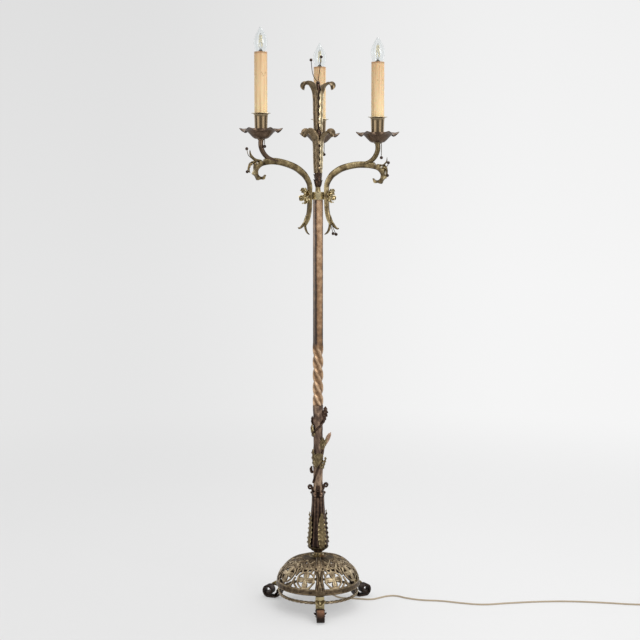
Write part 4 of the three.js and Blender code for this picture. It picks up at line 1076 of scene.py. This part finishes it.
bud_line = smooth_line([(vine_radius - 1, stem_foot + 118), (vine_radius + 8, stem_foot + 134),
                        (vine_radius + 14, stem_foot + 147), (vine_radius + 20, stem_foot + 158)], 60)
bud_size = np.interp(np.linspace(0, 1, 60), [0, 0.12, 0.4, 0.66, 0.86, 0.94, 1],
                     [2.4, 4.2, 5.4, 5.6, 4.0, 1.2, 0.6])
bud_round = round_section(bud_size, 24) * (1 + 0.1 * np.cos(5 * around(24)))[:, None]
bud = moved(bent(bud_line, bud_round, 0.6), bearing=toward(84))
bud_leaves = [
    climber(66, [(-1, 110), (3, 120), (7.5, 131), (11, 143)], 19, teeth=3, tooth=0.4, cup=-0.5, vein=0.8,
            roll=35, light=0.1),
    climber(44, [(-1, 112), (2, 122), (3.5, 133), (5.5, 146)], 16, teeth=3, tooth=0.4, cup=-0.5, vein=0.8,
            roll=20),
]
piece("fine_vine", [vine_rod] + thorns, iron, stands_for=["stem_vine"])
piece("vine_petals", petals + bud_leaves, gilt)
piece("vine_bud", [bud], bud_paint)

# %% Shaft
shaft_foot, shaft_head = span("shaft")
twist_length = 168.3
twist_top = shaft_foot + twist_length
twist_pitch = 136.0
shaft_side = 21.6


def shaft_shell(rows=260):
    """A bevelled square. It turns left-handed below the top of the twist. Its straight part has painted shade
    along its edges and on its left face, and the corners of its twist a painted highlight."""
    fine = np.linspace(shaft_foot, twist_top, rows)
    height = np.concatenate([fine, np.linspace(twist_top, shaft_head, 24)[1:]])
    below = np.clip(twist_top - height, 0, None)
    blend = below**2 / (below + 12)
    turn = np.radians(20) + toward(0) + 2 * np.pi * blend / twist_pitch
    section = bar_section(shaft_side, shaft_side, 2.0, 6)
    bulge = 1 - 0.1 * np.clip(below / 30, 0, 1)[:, None] * (1 - (np.abs(section).min(1) / 8.5) ** 2)[None, :]
    x, y = rotated(section[:, 0] * bulge, section[:, 1] * bulge, turn)
    grid = np.stack([x, y, height[:, None] + 0 * x], -1)
    corner = np.clip(np.hypot(section[:, 0], section[:, 1]) / 12.5, 0, 1) ** 6
    twisted = np.clip(below / 20, 0, 1)[:, None]
    places = [shaft_foot, twist_top, twist_top + 60, shaft_head]
    level = np.interp(height, places, [0.4, 0.38, 0.47, 0.64])[:, None]
    # Painted shade: the straight part is darker along its edges and on its left face. Painted highlight: the
    # twist's corners are lighter.
    edge = np.clip((np.abs(section).min(1) - 6.5) / 2.3, 0, 1)
    painted_shade = 0.34 * edge + 0.24 * np.clip(-section[:, 1] / 8 - 0.3, 0, 1)
    relief = level + twisted * 0.44 * corner[None, :] ** 4 - (1 - twisted) * (painted_shade[None, :] - 0.04)
    return shell(grid, relief)


piece("fine_shaft", [shaft_shell()], stem_paint, stands_for=["shaft"], crease=30)

# %% [markdown]
# ## Band and arms
#
# Three flat bars are clasped to the stem by a brass band. Each flares at its foot into two leaf tips,
# sweeps up and out, and rolls into a toothed leaf at its end, where a bud, two leaves and two berries hang.
# A tube branches off to carry the pan. An arm lies in one upright plane, so it is drawn once in the plane
# of X and Z and turned to its azimuth.

# %% Band and rosettes
band_foot = span("arm_band")[0]
arms = {"left": (-57, 181), "right": (62, 172), "back": (178.5, 180)}
band_knots = [(bore, 0), (17, 0), (17.6, 0.8), (17.6, 2.2), (18.5, 17.2), (19.1, 18), (19.1, 19.4),
              (18.5, 20), (bore, 20)]
band = turned(np.array(band_knots) + [0, band_foot], 96, relief=0.66)
piece("fine_band", [band], bright_brass, stands_for=["arm_band"])


def rosette(azimuth, share=1.0):
    """A cup of nine cupped petals in two rows, laid over to face out from the stem. share scales it."""
    parts = [turned([(0, 0), (6, 0), (9, 3), (8, 5), (5, 3), (0, 2)], 24, closed=False)]
    for count, size, start in ((5, 19.5, 0.0), (4, 12.5, 0.6)):
        for turn in around(count) + start:
            line = [(3, 1), (0.45 * size, 3), (0.75 * size, 6.5), (size, 12), (size - 2, 16)]
            petal = leaf(line, 0.95 * size, 2, 0.25, cup=0.3, vein=0.6, thickness=2.2, rows=30, foot=0.6,
                         blunt=4, scallop=True, rim=0.5, contrast=0.3, light=0.12)
            parts.append(moved(petal, bearing=turn))
    parts.append(ball(3.2, (0, 0, 6)))
    parts = [{**part, "points": part["points"] * share} for part in parts]
    return spun([moved(laid(part), (32.1, 0, band_foot + 10)) for part in parts], azimuth)


for side, (azimuth, rise) in arms.items():
    parts = rosette(azimuth, {"left": 1.0, "right": 0.86, "back": 0.55}[side])
    piece("fine_rosette_" + side, parts, bright_brass, stands_for=["rosette_" + side])

# %% An arm: bar, leaf tips, scroll
full_rise = 181
pan_reach = 172
bar_width = 9.0
bar_depth = 12.5
bar_half = (bar_width / 2, bar_depth / 2)


def sagged(pairs, rise):
    """Pairs of distance and height above the band's foot, lowered towards the end if the arm sits lower."""
    pairs = np.asarray(pairs, float).copy()
    pairs[:, 1] += band_foot - (full_rise - rise) * np.clip((pairs[:, 0] - 40) / 100, 0, 1)
    return pairs


arm_knots = [(40, -65), (32, -49), (26.95, -27), (25.55, 0), (25.55, 20), (26.95, 41), (38, 60), (50, 71),
             (67, 82), (88, 90), (112, 96), (135.4, 98.5), (158, 97), (178, 91), (190, 77), (188.5, 62),
             (178, 54), (166, 55.5), (160, 63)]


def arm_bar(rise):
    """A bevelled bar that widens to a leaf along the scroll at its end, with teeth on the outer side."""
    line = smooth_line(sagged(arm_knots, rise), 300)
    share = np.linspace(0, 1, len(line))[:, None]
    leafy = np.clip((share - 0.7) / 0.08, 0, 1)
    teeth = leafy * (0.5 - 0.5 * np.cos(2 * np.pi * 22 * (share - 0.7))) ** 0.7
    wide = 1 + 0.5 * leafy * np.clip((1.0 - share) * 6, 0, 1)
    deep = np.interp(share, [0, 0.05, 0.12, 0.3, 0.42, 0.72, 0.88, 0.96, 1],
                     [0.6, 0.9, 0.95, 1.0, 1.3, 1.35, 1.25, 0.8, 0.3])
    section = bar_section(bar_width, bar_depth, 1.5, 5)
    outer_side = (section[:, 1] < -1)[None, :]
    across, out = section.T
    sections = np.stack([across * wide, out * deep * (1 - 0.75 * teeth * outer_side)], -1)
    hammer = 0.1 * np.sin(46 * share) + 0.1 * np.sin(71 * share + 1)
    edge = (np.hypot(*(section / bar_half).T) / 1.3) ** 5
    # Painted light and shade: the bar's upper side along its sweep is lighter, its lower side darker.
    painted_light_side = np.clip(-section[:, 1] / bar_half[1], -1, 1)[None, :]
    relief = np.clip(0.44 + 0.12 * edge[None, :] + 0.16 * painted_light_side + 0.7 * hammer - 0.15 * teeth, 0, 1)
    return bent(line, sections, relief)


def arm_tips(rise, roll, inward):
    """Two hooked leaf tips at the bar's foot: the outer curls away from the stem, the inner towards it and
    further by inward. roll turns their broad side."""
    outer = [(30, -42), (35, -54), (42, -64), (50, -71), (57, -74), (62, -72)]
    inner = [(34, -48), (37.5 - 0.5 * inward, -61), (37 - 0.7 * inward, -73), (33 - 0.8 * inward, -84),
             (26 - inward, -91)]
    tips = [(outer, 15), (inner, 13)]
    shape = {"cup": -0.3, "vein": 0.5, "thickness": 5, "foot": 0.8, "contrast": 0.3, "roll": roll}
    return [leaf(sagged(line, rise), width, 2, 0.12, **shape) for line, width in tips]


# %% A branch: the tube from the arm to its pan
def branch(rise):
    """A tube that leaves the arm, dips and rises into a collar under the pan."""
    seat = band_foot + rise - 27.3
    low = sagged([(122, 99), (136, 101.5), (149, 105.5)], rise)
    knots = np.concatenate([low, [[160.5, seat - 40], [168, seat - 30], [172.3, seat - 19], [173, seat - 9],
                                  [172.2, seat - 3]]])
    tube_line = smooth_line(knots, 80)
    radius = np.interp(np.linspace(0, 1, 80), [0, 0.3, 0.6, 1], [4.6, 5.8, 6.3, 6.6])
    tube = bent(tube_line, round_section(radius, 20), 0.45)
    seat_line = [(5.2, -6), (6.6, -5), (6.0, -3.6), (8.6, -2), (9, -0.6), (9, 0)]
    collar_part = turned(np.array(seat_line) + [0, seat], 40, closed=False, relief=0.6)
    return [tube, moved(collar_part, (pan_reach, 0, 0))]


# %% A spray: bud, two leaves and two berries on wires
def wire(start, middle_point, end, radius=0.9):
    """A thin bent wire."""
    return swept(smooth_line([start, middle_point, end], 24), round_section(radius, 8), relief=0.3)


def spray(rise, roll, folded):
    """What hangs at an arm's end. roll turns the leaves' broad side, and folded draws them in."""
    x, z = sagged([(190, 90.5)], rise)[0]
    upper_line = [(x - 20, z + 8), (x - 5, z + 9 - 3 * folded), (x + 6 - 4 * folded, z + 15 - 6 * folded),
                  (x + 13 - 5 * folded, z + 24 - 8 * folded), (x + 15 - 6 * folded, z + 36 - 9 * folded)]
    upper = leaf(upper_line, 9 - 4 * folded, 2, 0.1, cup=-0.3, thickness=2.6, vein=0.5, roll=roll,
                 contrast=0.3)
    lower_line = [(x - 2, z + 4), (x + 7 - 4 * folded, z + 2), (x + 14 - 8 * folded, z - 5),
                  (x + 17 - 10 * folded, z - 13), (x + 15 - 10 * folded, z - 22)]
    lower = leaf(lower_line, 13 - 3 * folded, 4, 0.45 - 0.2 * folded, cup=-0.4, thickness=2.6, vein=0.9,
                 ruffle=1 - folded, roll=roll)
    small = leaf([(x - 3, z + 3), (x + 3, z + 9), (x + 5, z + 15)], 10 - 4 * folded, 3, 0.3, cup=-0.5,
                 vein=0.8)
    high = np.array([x + 20 - 4 * folded, -7, z + 38.5 - 26 * folded])
    low = np.array([x + 27 - 20 * folded, 7, z - 19.5])
    wires = [wire((x + 2, -2, z + 10 - 4 * folded), (x + 16 - 4 * folded, -5, z + 22 - 18 * folded), high),
             wire((x, 2, z + 4), (x + 19 - 12 * folded, 5, z + 2 - 4 * folded), low)]
    bud = moved(turned(smooth_line([(0.2, -6), (4, -3), (4.8, 1), (3, 5), (0.2, 7)], 16), 16, closed=False),
                (x, 0, z))
    return [upper, lower, small, bud] + wires, [ball(4, high), ball(4, low)]


for side, (azimuth, rise) in arms.items():
    roll = -65 if side == "left" else 65
    folded = side == "right"
    leaves, berries = spray(rise, roll, folded)
    bar_parts = spun([arm_bar(rise)] + arm_tips(rise, roll, 7 * folded), azimuth)
    piece("fine_arm_" + side, bar_parts, arm_brass, stands_for=["arm_" + side])
    branch_finish = bronze if side == "left" else arm_brass
    piece("fine_branch_" + side, spun(branch(rise), azimuth), branch_finish,
          stands_for=["branch_" + side])
    piece("fine_spray_" + side, spun(leaves, azimuth), gilt,
          stands_for=["leaf_spray_" + side])
    if side == "right":
        foot_height = band_foot - 58
        for across, end in ((-4, (47, -4, foot_height - 30)), (4, (52, 3, foot_height - 32))):
            berries += [wire((37, across, foot_height + 4), (42, across, foot_height - 14), end),
                        ball(4.2, end)]
    piece("fine_berries_" + side, spun(berries, azimuth), foot_iron)

# %% [markdown]
# ## Upper stem and its leaves
#
# Above the band the stem is a slim tapered tube, dressed in two tiers of tall leaves. Each leaf is bent round
# the stem like a gutter, and its tip curls out and droops.

# %% Upper stem
upper_foot, upper_head = span("upper_stem")
crown_foot = span("crown_leaves")[0]
tier_foot = span("tier_leaves")[0]
upper_knots = [(6.4, 0), (6.2, 11), (8.4, 16), (9.2, 22), (8.8, 60), (8.2, 160), (8.0, 262), (6.5, 272),
               (5.0, 279)]
upper_share = np.linspace(0, 1, 90)
upper_radius, upper_level = np.array(upper_knots).T
upper_line = np.stack([np.interp(upper_share * upper_level[-1], upper_level, upper_radius),
                       upper_foot + upper_share * (upper_head - upper_foot)], 1)
upper = turned(upper_line, 48, closed=False, relief=0.4)
piece("fine_upper_stem", [upper], iron, stands_for=["upper_stem"])
neck_line = [(6.3, 0.4), (8.0, 0.4), (7.8, 2.0), (7.0, 3.4), (6.8, 7), (6.8, 13), (6.3, 13.4)]
piece("stem_neck", [turned(np.array(neck_line) + [0, upper_foot], 48, relief=0.6)], gilt)
sprigs = []
sprig_places = [(-80, 18), (-20, 24), (85, 16), (-95, 32), (40, 34), (100, 42), (-60, 44), (15, 14),
                (-85, 52), (90, 56)]
for turn, height in sprig_places:
    knots = np.array([(7.6, 0), (8.8, 4), (9.8, 10), (11.4, 15)]) + [0, upper_foot + height]
    sprigs.append(moved(leaf(knots, 12, 3, 0.35, cup=-0.4, vein=0.8, rows=30), bearing=toward(turn)))
piece("stem_sprigs", sprigs, foot_iron)


# %% Tiers
def tall_leaf(foot_height, reach, start, slim, drop, shape):
    """A gutter-shaped leaf with a scalloped edge that follows the stem, then arches out and down. drop lowers
    the arch. shape is its width, the depth of its scallops, its painted light on the part that follows the
    stem, its painted highlight along the rim and how far it leans to one side."""
    width, tooth, light, rim, lean = shape
    # Painted light, faded out before the arch.
    light = light * np.clip((0.72 - np.linspace(0, 1, 170)) / 0.1, 0, 1)[:, None]
    knots = [(10.9, start), (12.2, 15), (12.9, 32.4), (13.2, 50), (13.6, 64 - drop / 4),
             (15.2, 79 - drop / 2), (19, 91.5 - drop), (26, 100.5 - drop), (0.5 * reach + 13, 102 - drop),
             (reach - 1, 98 - drop), (reach + 1.2, 87 - 0.4 * drop)]
    return leaf(np.array(knots) + [0, foot_height], width, teeth=7, tooth=tooth, wrap=12.6, vein=0.6,
                thickness=2, rows=170, foot=0.7, blunt=14, ruffle=0.3, contrast=0.2, rim=rim, lean=lean,
                slim=slim, scallop=True, light=light)


def tier(foot_height, reach, azimuths, start, slim, drop):
    """Three tall leaves on a turned ring. The second leans away from the front, so that the dark stem shows
    between its bright edge and the first."""
    ring_line = [(8.8, 0), (11.4, 0.6), (12, 2.5), (12, 5.5), (11.2, 7.6), (8.8, 8)]
    ring = turned(np.array(ring_line) + [0, foot_height], 48, relief=0.5)
    # The second leaf carries painted light and the third a painted highlight on its rim.
    shapes = zip(azimuths, ((32, 0.1, 0.0, 0.0, 0.0), (27, 0.22, 0.34, 0.05, 0.22), (27, 0.2, 0.0, 0.2, 0.2)))
    return [ring] + [spun([tall_leaf(foot_height, reach, start, slim, drop, shape)], turn)[0]
                     for turn, shape in shapes]


tier_parts = tier(tier_foot, 35.5, (-60, 68, 180), -8, -0.5, 8)
crown_parts = tier(crown_foot, 38.5, (-66, 62, 174), -16, -0.15, 0)
piece("fine_tier", tier_parts, leaf_brass, stands_for=["tier_leaves"])
piece("fine_crown", crown_parts, leaf_brass, stands_for=["crown_leaves"])

# %% Two berries on wires at the top
spray_foot = span("berry_spray")[0]
left_end, right_end = np.array([-18, -4, spray_foot + 61]), np.array([8.5, -3, spray_foot + 69])
knob_line = [(0.3, 0), (5, 0.4), (5.6, 2.5), (4.4, 5), (2, 7.5), (0.3, 8)]
stalks = [turned(np.array(knob_line) + [0, spray_foot], 20, closed=False, relief=0.5)]
stalks += [wire((0, 0, spray_foot + 3), (-13, -3, spray_foot + 24), left_end)]
stalks += [wire((0, 0, spray_foot + 3), (5, -2, spray_foot + 40), right_end)]
tops = [ball(4, left_end), ball(4, right_end)]
piece("fine_berry_spray", stalks + tops, foot_iron, stands_for=["berry_spray"])

# %% [markdown]
# ## Pans, cups and candles
#
# Each arm ends in a lobed drip pan, a turned cup and an electric candle: a card sleeve with painted drips, a
# clear bulb with a filament that unscrews, and a bead chain that is pulled to switch it.

# %% Pan and cup
pan_rim = {side: band_foot + rise for side, (azimuth, rise) in arms.items()}
pan_knots = [(7, -27), (12, -27), (17.4, -25.4), (22.5, -21.4), (27.5, -16.2), (32.5, -11), (38, -6.6),
             (43, -4), (49, -2.2), (54.8, -0.9), (55.6, 0)]
pan_back = [(54.4, 0.8), (49, -0.5), (43, -2.3), (38, -4.9), (32.5, -9.2), (27.5, -14.4), (22.5, -19.6),
            (17.4, -23.6), (12, -25.2), (7, -25.4)]


def pan_swell(angle, radius, height):
    """Six lobes: each is a lip of the brim folded down, and between them a narrow, flat tongue stands out."""
    lobe = (0.5 - 0.5 * np.cos(6 * angle + 0.15)) ** 0.7
    past = np.clip(radius - 45.0, 0, None)
    return 1 - 0.7 * lobe * past / radius, -lobe * past


def pan():
    """Outer and inner skin in one closed profile."""
    outline = np.concatenate([smooth_line(pan_knots, 60), smooth_line(pan_back, 56)])
    share = np.clip((outline[:, 0] - 7) / 48, 0, 1)[:, None]
    outside = (np.arange(len(outline)) < 60)[:, None]
    # Painted shade on the outer skin towards the brim, where the lips fold down, and a little painted light
    # inside the bowl.
    relief = 0.46 + np.where(outside, -0.18, 0.05) * share**5
    return turned(outline, 192, pan_swell, relief=relief)


cup_knots = [(15.5, -24.8), (16, -10), (16.4, 6), (17, 24), (17.6, 32), (19, 35.8), (24.8, 37.4)]
cup_back = [(24.2, 38.1), (18.6, 36.6), (17, 33.2), (16.8, 31.7), (14.9, 31.7)]
for side in arms:
    at = middle("candle_sleeve_" + side) + [0, 0, pan_rim[side] * mm]
    piece("fine_pan_" + side, [pan()], bronze, stands_for=["drip_pan_" + side], at=at)
    outline = np.concatenate([smooth_line(cup_knots, 40), cup_back,
                              [(14.9, -23), (pan_knots[0][0], -23.4), (7, -24.8)]])
    edge = np.interp(outline[:, 1], [-25, -20, 30, 38], [0.2, 0.45, 0.5, 0.95])
    piece("fine_cup_" + side, [turned(outline, 96, relief=edge[:, None])], cup_brass,
          stands_for=["candle_cup_" + side], at=at)

# %% Sleeve with drips
rng = np.random.default_rng(7)
dot_count = drip_count = 9
sleeve_radius = 16.5
sleeve_bore = 15.0


def sleeve(low, high):
    """A card tube whose skin swells where paint has run: drips of random place and length, each a bell
    curve round the tube, full above its end and with a rounder bead at it. A belt of dots is only stained."""
    height = np.linspace(low, high, 110)
    angle = around(96)[None, :]
    dots = runs = np.zeros((110, 96))
    for turn, level in zip(rng.uniform(0, 2 * np.pi, dot_count), rng.normal(0.66, 0.03, dot_count)):
        round_by = sleeve_radius * ((angle - turn + np.pi) % (2 * np.pi) - np.pi)
        apart = np.hypot(round_by, height[:, None] - low - level * (high - low))
        dots = np.maximum(dots, np.clip(1.6 - apart / 1.3, 0, 1))
    for _ in range(drip_count):
        where, end, size = rng.uniform(0, 2 * np.pi), rng.uniform(0.35, 0.92), rng.uniform(0.5, 1.0)
        near = np.exp(-(((angle - where + np.pi) % (2 * np.pi) - np.pi) / 0.13) ** 2)
        stop = low + end * (high - low)
        above = 1 / (1 + np.exp(-(height[:, None] - stop) / 1.2))
        bead = np.exp(-(((height[:, None] - stop - 2) / 3.0) ** 2))
        runs = np.maximum(runs, size * near * (0.35 * above + 0.6 * bead))
    radius = sleeve_radius + 0.55 * runs
    share = (height[:, None] - low) / (high - low)
    outer, inner = (polar(r, angle, height[:, None]) for r in (radius, sleeve_bore))
    grid = np.concatenate([outer, inner[[-1, 0]]])
    shade = np.where(high - height[:, None] < 4.5, 0.97, 0.9 * share) + 0 * angle
    relief = np.concatenate([shade, np.ones((1, 96)), np.zeros((1, 96))])
    part = shell(grid, relief, closed_along=True)
    return {**part, "stain": np.concatenate([dots, np.zeros((2, 96))]).ravel()}


# %% Bulb, filament and bead chain
def bulb_shell(tip):
    """The glass: a drawn flame with a wall of 0.8 mm, open at its foot, as one closed profile. Heights here
    and in bulb_inside count from the sleeve's top."""
    outline = [(12.4, -3.2), (13.2, 2), (15.4, 11), (17.3, 20), (17.0, 29), (13.6, 41), (8.6, 51),
               (4.0, 58.5), (2.0, tip - 2), (0.15, tip)]
    outer = smooth_line(outline, 60)
    inner = smooth_line(np.array(outline) - [0.45, 0] + np.array([[0, 0]] * 8 + [[0, -0.8]] * 2), 60)[::-1]
    inner[:, 0] = np.maximum(inner[:, 0], 0.1)
    return turned(np.concatenate([outer, inner[1:]]), 64)


def bulb_inside():
    """A glass stem on a flared foot, and four filament sticks that lean outwards."""
    stem_line = [(0.2, -3), (9, -3), (8, 0), (3.2, 5), (2.3, 12), (2.3, 22), (3.0, 24), (0.2, 25)]
    stem_part = turned(stem_line, 24, closed=False)
    sticks, leads = [], []
    for turn in np.radians([20, 110, 200, 290]):
        c, s = np.cos(turn), np.sin(turn)
        start, end = (4.6 * c, 4.6 * s, 13), (3.0 * c, 3.0 * s, 42)
        sticks.append(swept(even(np.array([start, end]), 6), round_section(0.75, 8)))
        hook = (0.6 * c, 0.6 * s, 46)
        leads.append(wire(end, (1.6 * c, 1.6 * s, 45.4), hook, 0.25))
        leads.append(wire((2.0 * c, 2.0 * s, 12), (3.6 * c, 3.6 * s, 11), start, 0.25))
    return stem_part, sticks, leads


def bead_chain(low, high):
    """A string of small beads: one turned shape whose radius is a rectified wave of the height."""
    height = np.arange(low + 3, high, 0.45)
    radius = 0.45 + 0.8 * np.abs(np.sin(np.pi * (height - low) / 3.1)) ** 0.7
    return turned(np.stack([radius, height], 1), 8, closed=False)


for side in arms:
    rim = pan_rim[side]
    low, high = span("candle_sleeve_" + side)
    tip = span("bulb_glass_" + side)[1] - high
    at = middle("candle_sleeve_" + side)
    body = "bulb_" + side
    piece("fine_sleeve_" + side, [sleeve(low, high)], card,
          stands_for=["candle_sleeve_" + side], at=at)
    up = at + [0, 0, high * mm]
    piece("fine_glass_" + side, [bulb_shell(tip)], glass, body, ["bulb_glass_" + side], up)
    stem_part, sticks, leads = bulb_inside()
    piece("glass_stem_" + side, [stem_part], glass, body, at=up)
    piece("filament_" + side, sticks, filament, body, at=up)
    piece("filament_wire_" + side, leads, nickel, body, at=up)
    chain_low, chain_high = span("pull_chain_" + side)
    hang = middle("pull_chain_" + side)
    pull = bead_chain(chain_low + 6, chain_high)
    piece("fine_pull_" + side, [pull], chain_steel, "pull_" + side, ["pull_chain_" + side],
          hang)
    piece("pull_knob_" + side, [ball(4.2, (0, 0, chain_low + 4.3))], foot_iron,
          "pull_" + side, at=hang)

# %% [markdown]
# ## Cord pieces and what the frame keeps
#
# The bushing, the tie and the plug sit on the cord. Hidden pieces, such as the pipe and the sockets, keep
# the frame's own shape and only get a finish.

# %% Bushing, tie and plug
bush_foot, bush_head = span("cord_bushing")
bush_line = [(0.2, bush_foot), (2.6, bush_foot), (3.4, bush_foot + 1), (3.6, bush_foot + 8),
             (4.9, bush_head - 4), (5.15, bush_head), (0.2, bush_head)]
bushing = piece("fine_bushing", [turned(bush_line, 32, closed=False)], rubber,
                stands_for=["cord_bushing"])
tie_low, tie_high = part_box("cord_tie")


def tie_loop():
    """A flat strip carried round a rectangle with rounded corners, upright, across the wound cord."""
    (low_y, low_z), (high_y, high_z) = np.array(tie_low)[1:] / mm + 0.4, np.array(tie_high)[1:] / mm - 0.4
    corner = 1.6
    turn = np.linspace(0, np.pi / 2, 7)
    line = []
    for y, z, start in ((high_y - corner, high_z - corner, 0), (low_y + corner, high_z - corner, 1),
                        (low_y + corner, low_z + corner, 2), (high_y - corner, low_z + corner, 3)):
        angle = turn + start * np.pi / 2
        line.append(np.stack([0 * angle, y + corner * np.cos(angle), z + corner * np.sin(angle)], 1))
    return swept(np.concatenate(line), bar_section(6, 0.8, 0.2, 2), side=(1, 0, 0), closed_along=True)


tie_middle = np.array([(tie_low.x + tie_high.x) / 2, 0, 0])
tie = piece("fine_tie", [tie_loop()], rubber, stands_for=["cord_tie"], at=tie_middle)


def plug_parts():
    """A moulded body drawn along +X, a row of superellipses that swell from the neck, and two blades."""
    x = np.array([0, 3, 7, 11, 12.4, 15, 20, 28, 33, 34.6, 35])
    wide = np.array([3, 3.3, 4.4, 6, 8, 10.4, 11, 11, 10.8, 10.2, 9])
    tall = np.array([3, 3.3, 4.6, 6, 6.4, 6.9, 7, 7, 6.9, 6.4, 5.4])
    power = np.array([1, 1, 1, 1, 0.8, 0.6, 0.5, 0.5, 0.5, 0.5, 0.5])[:, None]
    turn = around(48)[None, :]
    c, s = np.cos(turn), np.sin(turn)
    y = wide[:, None] * np.sign(c) * np.abs(c) ** power
    z = tall[:, None] * np.sign(s) * np.abs(s) ** power
    body = shell(np.stack([x[:, None] + 0 * y, y, z], -1))
    blade = swept(np.array([[34.2, 0, 0], [42, 0, 0], [49, 0, 0], [50.5, 0, 0]]),
                  bar_section(1.5, 6.3, 0.4, 2) * np.array([1, 1, 1, 0.8])[:, None, None], side=(0, 1, 0))
    return body, [moved(blade, (0, y, 0)) for y in (-6.35, 6.35)]


tail_end, tail_step = cord_tail[-1], cord_tail[-1] - cord_tail[-2]
plug_bearing = np.arctan2(tail_step[1], tail_step[0])
plug_at = stem_axis + tail_end + 0.3 * mm * tail_step / np.linalg.norm(tail_step)
plug_body, blades = plug_parts()
plug = piece("fine_plug", [moved(plug_body, bearing=plug_bearing)], plug_plastic,
             stands_for=["plug"], at=plug_at)
plug_blades = piece("plug_blades", [moved(blade, bearing=plug_bearing) for blade in blades], nickel,
                    at=plug_at)

# %% Finishes of the frame's own pieces
kept = {"centre_pipe": hidden_iron, "pipe_washer": hidden_iron, "pipe_nut": hidden_iron}
kept.update({"socket_" + side: hidden_brass for side in arms})
kept.update({"bulb_cap_" + side: hidden_brass for side in arms})
for name, finish in kept.items():
    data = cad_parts[name].data
    data.materials.clear()
    data.materials.append(finish)
